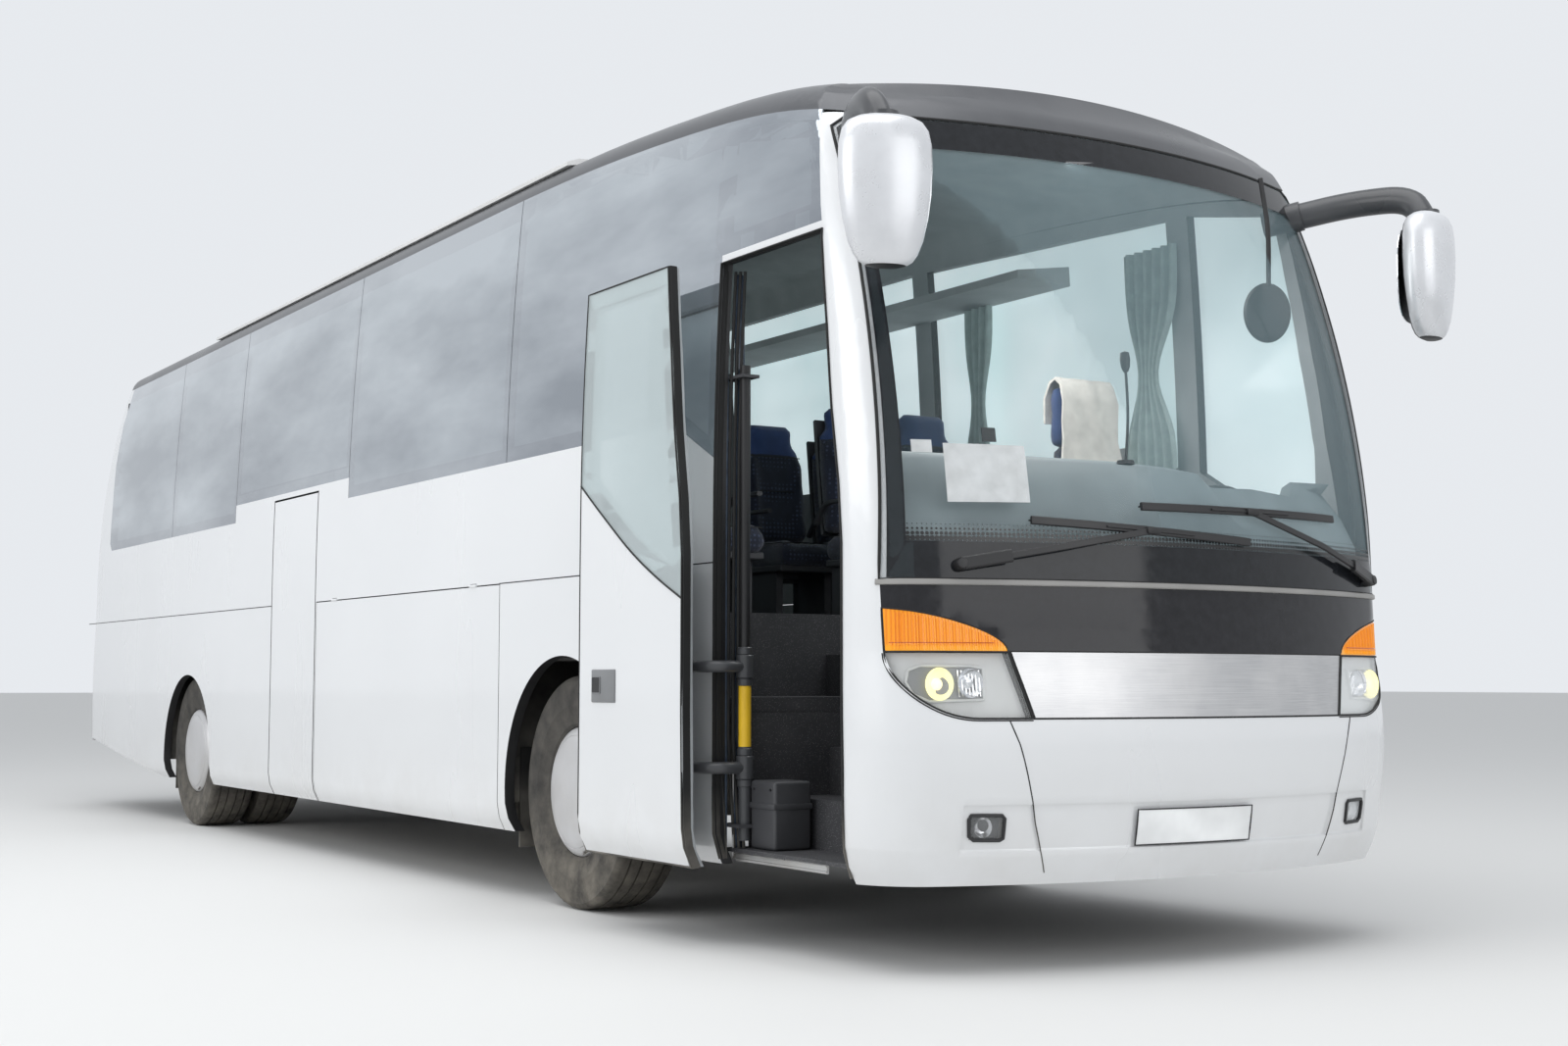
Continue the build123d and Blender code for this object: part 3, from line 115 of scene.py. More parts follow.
class Shader:
    """One material and the nodes in it."""

    def __init__(self, name):
        self.material = bpy.data.materials.new(name)
        self.material.use_nodes = True
        self.tree = self.material.node_tree
        self.surface = self.tree.nodes["Principled BSDF"]

    def node(self, kind, settings=None, inputs=None, output=0):
        """Adds a node: its settings first, then its inputs by place or by name."""
        made = self.tree.nodes.new(kind)
        for key, value in (settings or {}).items():
            setattr(made, key, value)
        pairs = inputs.items() if isinstance(inputs, dict) else enumerate(inputs or ())
        for key, value in pairs:
            self.feed(made.inputs[key], value)
        return Value(self, made.outputs[output])

    def feed(self, socket, value):
        if isinstance(value, Value):
            self.tree.links.new(value.socket, socket)
        elif value is not None:
            socket.default_value = value

    def place(self):
        """The point on the object, in metres."""
        return self.node("ShaderNodeTexCoord", output="Object")

    def axes(self):
        """The point's X, Y and Z."""
        split = self.tree.nodes.new("ShaderNodeSeparateXYZ")
        self.tree.links.new(self.place().socket, split.inputs[0])
        return [Value(self, split.outputs[i]) for i in range(3)]

    def noise(self, scale, detail=3.0, roughness=0.5, where=None):
        inputs = {"Vector": where or self.place(), "Scale": scale, "Detail": detail, "Roughness": roughness}
        return self.node("ShaderNodeTexNoise", {}, inputs)

    def stretched(self, scale):
        """The point scaled along each axis, for grain that runs one way."""
        return self.node("ShaderNodeMapping", {}, {"Vector": self.place(), "Scale": scale})

    def ramp(self, factor, low, high, start=0.0, end=1.0):
        """A colour between two, as a factor goes from start to end."""
        made = self.tree.nodes.new("ShaderNodeMapRange")
        made.inputs["From Min"].default_value = start
        made.inputs["From Max"].default_value = end
        self.feed(made.inputs["Value"], factor)
        return self.mix(Value(self, made.outputs[0]), low, high)

    def span(self, factor, start, end, low, high):
        """A number between two, as a factor goes from start to end."""
        inputs = {"Value": factor, "From Min": start, "From Max": end, "To Min": low, "To Max": high}
        return self.node("ShaderNodeMapRange", {}, inputs)

    def mix(self, factor, a, b):
        """A colour mixed from two."""
        made = self.tree.nodes.new("ShaderNodeMix")
        made.data_type = "RGBA"
        self.feed(made.inputs[0], factor)
        self.feed(made.inputs[6], colour(a))
        self.feed(made.inputs[7], colour(b))
        return Value(self, made.outputs[2])

    def bump(self, height, strength, distance=0.001):
        return self.node("ShaderNodeBump", {},
                         {"Strength": strength, "Distance": distance, "Height": height})

    def set(self, **values):
        """Feeds the surface's sockets; an underscore in a name is a space."""
        for key, value in values.items():
            socket = self.surface.inputs[key.replace("_", " ")]
            self.feed(socket, colour(value) if key == "Base_Color" else value)
        return self.material


def colour(value):
    """A colour with its alpha, or a socket as it is."""
    if isinstance(value, tuple) and len(value) == 3:
        return value + (1.0,)
    return value


# Finishes

def dusty(shader, clean, dust=(0.42, 0.39, 0.34), top=0.9, most=0.35):
    """A colour with road dust on the parts near the ground."""
    height = shader.axes()[2]
    cloud = shader.noise(3.5, 5.0, 0.6)
    low = shader.span(height, 0.25, top, 1.0, 0.0)
    amount = low * shader.span(cloud, 0.35, 0.7, 0.15, 1.0) * most
    return shader.mix(amount, clean, dust)


def body_paint():
    shader = Shader("silver_white_paint")
    flake = shader.noise(900.0, 2.0, 0.5)
    drift = shader.noise(0.9, 2.0, 0.5)
    tone = shader.ramp(drift, (0.745, 0.755, 0.765), (0.765, 0.775, 0.785), 0.35, 0.65)
    paint = shader.mix(shader.span(flake, 0.55, 0.75, 0.0, 0.12), tone, (0.86, 0.87, 0.88))
    peel = shader.noise(45.0, 2.0, 0.5)
    streaks = shader.noise(1.0, 3.0, 0.5, shader.stretched((2.0, 2.0, 0.4)))
    return shader.set(
        Base_Color=dusty(shader, paint, top=0.75, most=0.22),
        Roughness=shader.span(streaks, 0.3, 0.7, 0.26, 0.32),
        Metallic=0.1,
        Coat_Weight=0.6,
        Coat_Roughness=0.05,
        Normal=shader.bump(peel, 0.012, 0.0003),
    )


def white_panel():
    shader = Shader("white_roof_panel")
    drift = shader.noise(2.0, 4.0, 0.6)
    tone = shader.ramp(drift, (0.72, 0.72, 0.71), (0.82, 0.82, 0.82), 0.3, 0.7)
    return shader.set(Base_Color=tone, Roughness=0.4, Normal=shader.bump(drift, 0.1, 0.001))


def gloss_black(name="gloss_black_panel", base=(0.012, 0.012, 0.014)):
    shader = Shader(name)
    film = shader.noise(25.0, 4.0, 0.6)
    tone = shader.ramp(film, base, tuple(c * 1.8 for c in base), 0.3, 0.8)
    return shader.set(
        Base_Color=tone, Roughness=shader.span(film, 0.3, 0.7, 0.05, 0.14), Specular_IOR_Level=0.3,
        Normal=shader.bump(shader.noise(8.0), 0.02, 0.001),
    )


def graphite_roof():
    shader = Shader("graphite_roof_paint")
    film = shader.noise(1.6, 4.0, 0.6)
    tone = shader.ramp(film, (0.075, 0.078, 0.085), (0.11, 0.113, 0.12), 0.3, 0.7)
    return shader.set(
        Base_Color=tone, Metallic=0.4, Roughness=shader.span(film, 0.3, 0.7, 0.25, 0.36),
        Normal=shader.bump(shader.noise(50.0), 0.04, 0.0005),
    )


def brushed_trim():
    shader = Shader("brushed_trim")
    grain = shader.noise(1.0, 4.0, 0.7, shader.stretched((40.0, 3.0, 700.0)))
    patch = shader.noise(5.0, 3.0, 0.5)
    tone = shader.ramp(grain, (0.40, 0.40, 0.41), (0.60, 0.60, 0.60), 0.3, 0.7)
    tone = shader.mix(shader.span(patch, 0.4, 0.7, 0.0, 0.35), tone, (0.68, 0.67, 0.66))
    return shader.set(
        Base_Color=tone, Metallic=0.85, Roughness=shader.span(grain, 0.3, 0.7, 0.28, 0.42),
        Normal=shader.bump(grain, 0.08, 0.0004)
    )


def glass(name, tint, alpha, edge=0.9, rough=0.02, gloss=0.9):
    """Tinted glass whose alpha lets the inside show, less where it is seen at a slant."""
    shader = Shader(name)
    drift = shader.noise(0.6, 2.0, 0.4)
    slant = shader.node("ShaderNodeLayerWeight", {}, {"Blend": 0.35}, output="Fresnel")
    return shader.set(
        Base_Color=shader.ramp(drift, tint, tuple(min(1.0, c * 1.2) for c in tint), 0.3, 0.7),
        Alpha=shader.span(slant, 0.05, 0.9, alpha, edge), Roughness=rough, IOR=1.52,
        Specular_IOR_Level=gloss,
    )


def glass_with_painted_sky():
    """Dark side glass with a painted sky reflection in its colour: cloudy tones, paler towards the roof."""
    shader = Shader("side_glass_painted_sky_reflection")
    # Painted reflection: the stretched cloud noise and the height ramp put the sky's reflection into the
    # base colour.
    cloud = shader.noise(1.0, 5.0, 0.55, shader.stretched((0.5, 1.0, 1.7)))
    height = shader.axes()[2]
    tone = shader.ramp(cloud + shader.span(height, 1.8, 3.3, -0.10, 0.12), (0.24, 0.265, 0.30),
                       (0.54, 0.575, 0.61), 0.34, 0.70)
    return shader.set(Base_Color=tone, Metallic=0.85, Roughness=0.04, Alpha=0.96, Coat_Weight=0.5,
                      Coat_Roughness=0.02)


def plastic(name, base, rough=0.5, grain=600.0, dust_top=None):
    shader = Shader(name)
    fine = shader.noise(grain, 3.0, 0.6)
    soft = shader.noise(4.0, 3.0, 0.5)
    tone = shader.ramp(soft, base, tuple(min(1.0, c * 1.35 + 0.004) for c in base), 0.3, 0.7)
    if dust_top:
        tone = dusty(shader, tone, top=dust_top, most=0.6)
    return shader.set(
        Base_Color=tone, Roughness=shader.span(soft, 0.3, 0.7, rough - 0.06, rough + 0.08),
        Normal=shader.bump(fine, 0.12, 0.0004)
    )


def rubber():
    shader = Shader("tyre_rubber")
    height = shader.axes()[2]
    cloud = shader.noise(9.0, 5.0, 0.65)
    tone = shader.ramp(cloud, (0.022, 0.021, 0.020), (0.05, 0.047, 0.043), 0.3, 0.7)
    low = shader.span(height, 0.0, 0.5, 0.75, 0.15)
    tone = shader.mix(low * shader.span(cloud, 0.3, 0.75, 0.1, 1.0), tone, (0.30, 0.27, 0.22))
    return shader.set(Base_Color=tone, Roughness=0.85,
                      Normal=shader.bump(shader.noise(260.0, 4.0), 0.3, 0.0008))


def silver_metal(name="wheel_silver", base=(0.56, 0.56, 0.57), rough=0.38, metal=0.55):
    shader = Shader(name)
    cloud = shader.noise(6.0, 5.0, 0.65)
    tone = shader.ramp(cloud, base, tuple(c * 1.12 for c in base), 0.3, 0.7)
    return shader.set(
        Base_Color=dusty(shader, tone, top=1.0, most=0.45), Metallic=metal,
        Roughness=shader.span(cloud, 0.3, 0.7, rough, rough + 0.16),
        Normal=shader.bump(shader.noise(90.0), 0.05, 0.0005),
    )


def cast_iron():
    shader = Shader("chassis_paint")
    cloud = shader.noise(7.0, 6.0, 0.7)
    tone = shader.ramp(cloud, (0.03, 0.028, 0.027), (0.10, 0.085, 0.07), 0.35, 0.75)
    return shader.set(Base_Color=dusty(shader, tone, top=1.2, most=0.6), Roughness=0.75,
                      Normal=shader.bump(shader.noise(120.0), 0.3, 0.001))


def floor_cover():
    shader = Shader("speckled_floor_cover")
    fleck = shader.node("ShaderNodeTexVoronoi", {"feature": "F1"},
                        {"Vector": shader.place(), "Scale": 170.0})
    spots = shader.span(fleck, 0.12, 0.2, 1.0, 0.0)
    base = shader.ramp(shader.noise(5.0), (0.035, 0.036, 0.04), (0.06, 0.06, 0.064), 0.3, 0.7)
    return shader.set(Base_Color=shader.mix(spots, base, (0.35, 0.35, 0.36)), Roughness=0.65,
                      Normal=shader.bump(spots, 0.15, 0.0006))


def seat_cloth():
    shader = Shader("seat_cloth")
    dots = shader.node("ShaderNodeTexVoronoi", {"feature": "F1"},
                       {"Vector": shader.place(), "Scale": 42.0, "Randomness": 0.15})
    y, z = shader.axes()[1:]
    weave = (y * 5200.0).wave() * (z * 5200.0).wave()
    tone = shader.mix(shader.span(dots, 0.22, 0.34, 1.0, 0.0), (0.012, 0.016, 0.034), (0.07, 0.09, 0.16))
    return shader.set(
        Base_Color=shader.mix(shader.span(shader.noise(12.0), 0.35, 0.65, 0.0, 0.4), tone,
                              (0.03, 0.04, 0.075)),
        Roughness=0.92, Sheen_Weight=0.4, Normal=shader.bump(weave, 0.4, 0.0008),
    )


def plain_cloth(name, base, fold=0.0):
    shader = Shader(name)
    x, z = shader.axes()[::2]
    weave = (x * 4000.0).wave() * (z * 4000.0).wave()
    soft = shader.noise(14.0, 4.0, 0.6)
    tone = shader.ramp(soft, base, tuple(min(1.0, c * 1.3) for c in base), 0.3, 0.7)
    return shader.set(Base_Color=tone, Roughness=0.9, Sheen_Weight=0.3,
                      Normal=shader.bump(weave + soft * fold, 0.3, 0.001))


DOTS_PER_METRE = 62.5


def dotted_border():
    """Rows of black dots that shrink upwards, as on a screen's edge."""
    shader = Shader("dotted_glass_border")
    y, z = shader.axes()[1:]
    across, up = (y * DOTS_PER_METRE).fraction() - 0.5, (z * DOTS_PER_METRE).fraction() - 0.5
    limit = shader.span(z, 1.50, 1.565, 0.62, 0.08)
    tone = shader.ramp(shader.noise(30.0), (0.006, 0.007, 0.008), (0.010, 0.011, 0.012), 0.3, 0.7)
    return shader.set(Base_Color=tone, Roughness=0.25, Alpha=(across * across + up * up).root() < limit)


def painted_daylight_glow():
    """The inner face of a side pane, glowing with painted daylight in place of the light from outside."""
    shader = Shader("side_pane_inner_painted_daylight")
    cloud = shader.noise(0.9, 3.0, 0.5)
    tone = shader.ramp(cloud, (0.55, 0.68, 0.70), (0.78, 0.88, 0.90), 0.3, 0.7)
    # Painted light: the emission makes the inner face glow like daylight; it is no lamp.
    return shader.set(Base_Color=tone, Roughness=0.1, Emission_Color=tone, Emission_Strength=0.7)


def ribbed_amber():
    """Amber lens with fine upright ribs and a brighter foot."""
    shader = Shader("ribbed_amber_lens")
    y, z = shader.axes()[1:]
    rib = (y * 571.0).wave()
    tone = shader.mix(shader.span(rib, -1.0, 1.0, 0.0, 1.0), (0.98, 0.36, 0.012), (0.80, 0.235, 0.008))
    tone = shader.mix(shader.span(z, 1.13, 1.145, 0.8, 0.0), tone, (1.0, 0.42, 0.015))
    return shader.set(
        Base_Color=tone, Roughness=0.12, Normal=shader.bump(rib, 0.35, 0.001), Emission_Color=tone,
        Emission_Strength=0.10
    )


def lamp(name, base, glow=0.0, rough=0.08):
    shader = Shader(name)
    cells = shader.noise(220.0, 2.0, 0.5)
    tone = shader.ramp(shader.noise(30.0), base, tuple(min(1.0, c * 1.2) for c in base), 0.3, 0.7)
    shader.set(Base_Color=tone, Roughness=rough, Normal=shader.bump(cells, 0.12, 0.001))
    if glow:
        shader.set(Emission_Color=tone, Emission_Strength=glow)
    return shader.material


PAINT = body_paint()
WHITE = white_panel()
BLACK = gloss_black()
GRAPHITE = graphite_roof()
TRIM = brushed_trim()
SKY_PAINTED_GLASS = glass_with_painted_sky()
SCREEN_GLASS = glass("windscreen_glass", (0.24, 0.33, 0.36), 0.05, 0.34, gloss=0.4)
CLEAR_GLASS = glass("clear_door_glass", (0.62, 0.70, 0.71), 0.42, 0.85)
LENS = glass("lamp_lens", (0.75, 0.77, 0.78), 0.10, 0.6)
GREY_PLASTIC = plastic("grey_plastic", (0.045, 0.046, 0.05), 0.5)
BLACK_PLASTIC = plastic("black_plastic", (0.010, 0.010, 0.011), 0.45)
SEAL = plastic("rubber_seal", (0.007, 0.007, 0.007), 0.7, dust_top=0.6)
HOUSING = plastic("dusty_black_housing", (0.012, 0.012, 0.012), 0.8, dust_top=1.2)
MIRROR_SHELL = silver_metal("mirror_shell_silver", (0.66, 0.67, 0.69), 0.22, 0.3)
ARM_GREY = plastic("dark_grey_arm", (0.05, 0.052, 0.056), 0.3)
DOOR_FRAME = plastic("pale_grey_frame", (0.33, 0.35, 0.36), 0.5)
HANDLE = plastic("grey_handle", (0.16, 0.165, 0.17), 0.4)
JAMB = gloss_black("blue_grey_jamb", (0.045, 0.06, 0.085))
DARK_LINING = plastic("dark_entrance_lining", (0.035, 0.037, 0.04), 0.7)
SEAT_BACK = plastic("slate_seat_panel", (0.045, 0.062, 0.075), 0.4)
MOULDING = plastic("grey_moulding", (0.24, 0.235, 0.225), 0.45)
BORDER = gloss_black("black_glass_border", (0.010, 0.011, 0.013))
DOTTED = dotted_border()
PAINTED_DAYLIGHT = painted_daylight_glow()
SHELL = plastic("pale_lamp_shell", (0.66, 0.665, 0.65), 0.3)
SOCKET = plastic("smoky_lamp_socket", (0.20, 0.205, 0.21), 0.2)
LINING = plastic("pale_cabin_lining", (0.36, 0.37, 0.37), 0.75)
RUBBER = rubber()
WHEEL = silver_metal()
TUBE = silver_metal("satin_steel_tube", (0.5, 0.5, 0.5), 0.25, 0.9)
IRON = cast_iron()
FLOOR = floor_cover()
CLOTH = seat_cloth()
BLUE_CLOTH = plain_cloth("blue_seat_cloth", (0.03, 0.06, 0.17))
CURTAIN = plain_cloth("grey_green_curtain", (0.46, 0.56, 0.54), 2.0)
FLEECE = plain_cloth("white_fleece", (0.68, 0.66, 0.61), 6.0)
PAPER = plain_cloth("blank_white_card", (0.80, 0.80, 0.79))
YELLOW = plastic("yellow_rail", (0.75, 0.46, 0.02), 0.4)
AMBER = ribbed_amber()
AMBER_DARK = lamp("amber_lens_line", (0.45, 0.08, 0.004))
RED = lamp("red_lens", (0.45, 0.012, 0.012))
REFLECTOR = silver_metal("lamp_reflector", (0.85, 0.86, 0.88), 0.08, 1.0)
GLOW = lamp("lit_bulb", (1.0, 0.84, 0.50), 1.0)
WARM = lamp("warm_lit_reflector", (0.95, 0.83, 0.45), 0.55, 0.2)
PLATE = plastic("blank_white_plate", (0.72, 0.73, 0.73), 0.35)
PALE_DASH = plastic("grey_dashboard_top", (0.20, 0.24, 0.25), 0.6)
MIRROR_FACE = silver_metal("mirror_glass", (0.8, 0.82, 0.84), 0.03, 1.0)

FINISH = {
    "side_wall_left": PAINT, "side_wall_right": PAINT, "roof": GRAPHITE, "roof_fairings": WHITE,
    "roof_unit": WHITE, "bumper": PAINT, "front_strip": TRIM, "front_mask": BLACK, "headlamps": LENS,
    "front_indicators": AMBER, "fog_lamps": LENS, "windscreen": SCREEN_GLASS, "windscreen_frame": PAINT,
    "rear_wall": PAINT, "rear_window": SKY_PAINTED_GLASS, "rear_bumper": PAINT, "tail_lamps": RED,
    "engine_lid": PAINT, "side_glass_left": SKY_PAINTED_GLASS, "side_glass_right": SKY_PAINTED_GLASS,
    "front_door": PAINT, "front_door_glass": CLEAR_GLASS, "front_door_arms": GREY_PLASTIC,
    "mid_door": PAINT, "mid_door_arms": GREY_PLASTIC, "door_brackets": GREY_PLASTIC,
    "mirrors": GREY_PLASTIC, "wipers": BLACK_PLASTIC, "cabin_floor": FLOOR, "cab_floor": FLOOR,
    "front_steps": FLOOR, "mid_steps": FLOOR, "seats": CLOTH, "luggage_racks": LINING,
    "dashboard": BLACK_PLASTIC, "steering_wheel": BLACK_PLASTIC, "chassis_frame": IRON,
    "wheel_housings": HOUSING, "engine": IRON, "air_springs": RUBBER, "front_axle": IRON,
    "rear_axle": IRON, "knuckle_left": IRON, "knuckle_right": IRON, "mud_flaps": SEAL,
    "luggage_flap_left_1": PAINT, "luggage_flap_left_2": PAINT, "luggage_flap_right": PAINT,
}
for wheel_side in ("left", "right"):
    FINISH[f"wheel_front_{wheel_side}"] = WHEEL
    FINISH[f"wheels_rear_{wheel_side}"] = WHEEL
    FINISH[f"tyre_front_{wheel_side}"] = RUBBER
    FINISH[f"tyres_rear_{wheel_side}"] = RUBBER
for node_name, material in FINISH.items():
    NODES[node_name].data.materials.clear()
    NODES[node_name].data.materials.append(material)


# Smooth surfaces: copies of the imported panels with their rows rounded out

NOSE_SET = [(0.31, 0.090), (0.37, 0.066), (0.44, 0.045), (0.56, 0.025), (0.8, 0.0), (1.12, 0.035),
            (1.35, 0.052), (1.7, 0.084), (2.05, 0.141), (2.4, 0.228), (2.75, 0.343), (3.0, 0.446),
            (3.12, 0.501), (3.2, 0.555), (3.24, 0.610)]
TAIL_SET = [(0.31, 0.075), (0.37, 0.058), (0.44, 0.045), (0.8, 0.0), (1.12, 0.0), (1.5, 0.05),
            (1.7, 0.058), (2.05, 0.085), (2.4, 0.150), (2.75, 0.280), (3.0, 0.415), (3.24, 0.610)]
LEAN_FROM = 1.6
LEAN_SPREAD = 38.0


def lean(z):
    """How far a side leans in at a height."""
    return max(0.0, z - LEAN_FROM) ** 2 / LEAN_SPREAD


LEAN_SET = [(z, -lean(z)) for z in (1.0, 1.7, 2.05, 2.4, 2.75, 3.0, 3.24)]
ROOF_SET = [(AXLE - 2.0, 0.0), (AXLE - 0.68, 0.0), (AXLE + 0.25, -0.019), (AXLE + 1.18, -0.075),
            (AXLE + 1.7, -0.135), (AXLE + 2.2, -0.240), (FRONT_X + 0.1, -0.4)]


def rounding(rows, at):
    """How far a smooth curve through the rows is from the straight lines between them."""
    for i, ((x0, y0), (x1, y1)) in enumerate(zip(rows, rows[1:])):
        if x0 <= at <= x1:
            break
    else:
        return 0.0
    before, after = rows[max(i - 1, 0)], rows[min(i + 2, len(rows) - 1)]
    step = x1 - x0
    slope0 = (y1 - before[1]) / (x1 - before[0])
    slope1 = (after[1] - y0) / (after[0] - x0)
    t = (at - x0) / step
    smooth = ((2 * t - 3) * t * t + 1) * y0 + (t - 2) * t * t * step * slope0 + t * step * slope0
    smooth += (3 - 2 * t) * t * t * y1 + (t - 1) * t * t * step * slope1
    return smooth - (y0 + t * (y1 - y0))


NOSE_FROM = AXLE + 1.4
TAIL_FROM = REAR_X + 1.5
END_BLEND = 0.8
SIDE_BLEND = 1.1
ROOF_FROM = 2.9
ROOF_BLEND = 0.3


def blend(distance, over):
    """How much of a form holds at a distance past its start."""
    return min(1.0, max(0.0, distance / over))


def rounded(point):
    """A point of the body moved from the straight rows to the smooth form."""
    x, y, z = point
    front, rear = blend(x - NOSE_FROM, END_BLEND), blend(TAIL_FROM - x, END_BLEND)
    x += rear * rounding(TAIL_SET, z) - front * rounding(NOSE_SET, z)
    y += math.copysign(1.0, y) * blend(abs(y), SIDE_BLEND) * rounding(LEAN_SET, z)
    z += blend(z - ROOF_FROM, ROOF_BLEND) * rounding(ROOF_SET, point[0])
    return x, y, z


CUT_LEVELS = [0.34, 0.405, 0.5, 0.62, 0.68, 0.74, 0.88, 0.96, 1.04, 1.2, 1.28, 1.44, 1.53, 1.62, 1.79,
              1.88, 1.97, 2.14, 2.23, 2.32, 2.49, 2.58, 2.67, 2.84, 2.93, 3.06, 3.16]


def link(obj):
    bpy.context.scene.collection.objects.link(obj)
    return obj


def new_object(name, bm, material, body="coach", sharp=32.0, slots=()):
    """Makes an object from a bmesh, with smooth shading broken at sharp edges, that rides on a body."""
    mesh = bpy.data.meshes.new(name)
    for face in bm.faces:
        face.smooth = True
    limit = math.radians(sharp)
    for edge in bm.edges:
        edge.smooth = edge.is_manifold and edge.calc_face_angle(0.0) < limit
    bm.to_mesh(mesh)
    bm.free()
    mesh.materials.append(material)
    for extra in slots:
        mesh.materials.append(extra)
    obj = link(bpy.data.objects.new(name, mesh))
    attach(obj, body)
    return obj


def cut_across(bm, axis, place, geom=None, dist=0.0005):
    """Cuts a mesh, or some parts of it, at a place along an axis."""
    spot, normal = [0.0, 0.0, 0.0], [0.0, 0.0, 0.0]
    spot[axis], normal[axis] = place, 1.0
    geom = geom or bm.verts[:] + bm.edges[:] + bm.faces[:]
    bmesh.ops.bisect_plane(bm, geom=geom, dist=dist, plane_co=spot, plane_no=normal)


def panel_mesh(node, levels=(), stations=()):
    """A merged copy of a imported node, cut at heights and at places along the body."""
    bm = bmesh.new()
    bm.from_mesh(NODES[node].data)
    bmesh.ops.remove_doubles(bm, verts=bm.verts, dist=0.00008)
    low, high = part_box(node)
    bmesh.ops.dissolve_limit(bm, angle_limit=0.0005, verts=bm.verts, edges=bm.edges)
    for axis, places in ((2, levels), (0, stations)):
        for place in places:
            if low[axis] + 0.01 < place < high[axis] - 0.01:
                cut_across(bm, axis, place)
    return bm


SKIN = 0.003


def inner_of_side(centre, normal):
    """Slots of a side panel: paint outside, black where the panes cover it, lining inside."""
    depth = side_y(centre.z) - abs(centre.y)
    if depth < SKIN:
        return 0
    return 1 if depth < 0.012 or abs(normal.y) < 0.5 else 2


def inner_of_pane(centre, normal):
    """Slots of a side pane: tinted glass with a painted sky reflection outside, painted daylight glowing
    inside.
    """
    return 1 if normal.y * math.copysign(1.0, centre.y) < -0.5 else 0


def inner_of_nose(centre, normal):
    """Slots of a front panel: its finish outside, dark behind."""
    outside = centre.x > nose_x(centre.y, centre.z) - 0.011 or side_y(centre.z) - abs(centre.y) < SKIN
    return 0 if outside else 1


def inner_of_leaf(centre, normal):
    """Slots of the open door leaf: paint outside, pale grey frame inside."""
    depth = side_y(centre.z) - abs(centre.y - DOOR_SHIFT[1])
    return 0 if depth < SKIN else 1


def inner_of_roof(centre, normal):
    """Slots of the roof: its paint outside, lining below."""
    return 1 if normal.z < 0.05 and abs(centre.y) < 1.19 else 0


def body_panel(node, name, body, material, levels=CUT_LEVELS, stations=(), seams=(), slots=(),
               shift=(0.0, 0.0),
               curve=None, cuts=(), press=None, inside=None):
    """A body panel with its rows rounded and its seams drawn back; seams are (axis, place, move)."""
    bm = panel_mesh(node, levels, stations)
    for axis, place in cuts:
        cut_across(bm, axis, place, dist=0.0002)
    if curve:
        follow_curve(bm, *curve)
    for vert in bm.verts:
        for axis, place, move in seams:
            if abs(vert.co[axis] - place) < 0.0009:
                vert.co[axis] += move
        x, y, z = vert.co
        moved = rounded((x - shift[0], y - shift[1], z))
        vert.co = (moved[0] + shift[0], moved[1] + shift[1], moved[2])
        if press:
            vert.co.x -= press(vert.co)
    obj = new_object(name, bm, material, body, slots=slots)
    if inside:
        for face in obj.data.polygons:
            face.material_index = inside(face.center, face.normal)
    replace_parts(obj, node)
    even = obj.modifiers.new("even_normals", "WEIGHTED_NORMAL")
    even.keep_sharp = True
    even.weight = 80


# Modelling helpers

MERGE = 0.00002


def turn_out(bm, known, slot):
    """Points the faces that weren't known outwards and gives them their slot."""
    made = [face for face in bm.faces if face not in known]
    bmesh.ops.recalc_face_normals(bm, faces=made)
    for face in made:
        face.material_index = slot
    return made


def block(bm, low, high, edge=0.004, segments=2, slot=0, turn=None):
    """A box between two corners with rounded edges, turned about its middle."""
    before = set(bm.faces)
    verts = bmesh.ops.create_cube(bm, size=1.0)["verts"]
    bmesh.ops.scale(bm, vec=[abs(b - a) for a, b in zip(low, high)], verts=verts)
    edges = list({e for v in verts for e in v.link_edges})
    if edge:
        bmesh.ops.bevel(bm, geom=edges, offset=edge, segments=segments, profile=0.5, affect="EDGES",
                        material=-1)
    made = [face for face in bm.faces if face not in before]
    verts = list({v for face in made for v in face.verts})
    if turn is not None:
        bmesh.ops.transform(bm, matrix=turn, verts=verts)
    bmesh.ops.translate(bm, vec=[(a + b) / 2 for a, b in zip(low, high)], verts=verts)
    for face in made:
        face.material_index = slot
    return verts


def oval(count, half_a, half_b=None):
    """Points round an oval, for the section of a tube or strip."""
    half_b = half_b or half_a
    turns = [2 * math.pi * (i + 0.5) / count for i in range(count)]
    return [(half_a * math.cos(a), half_b * math.sin(a)) for a in turns]


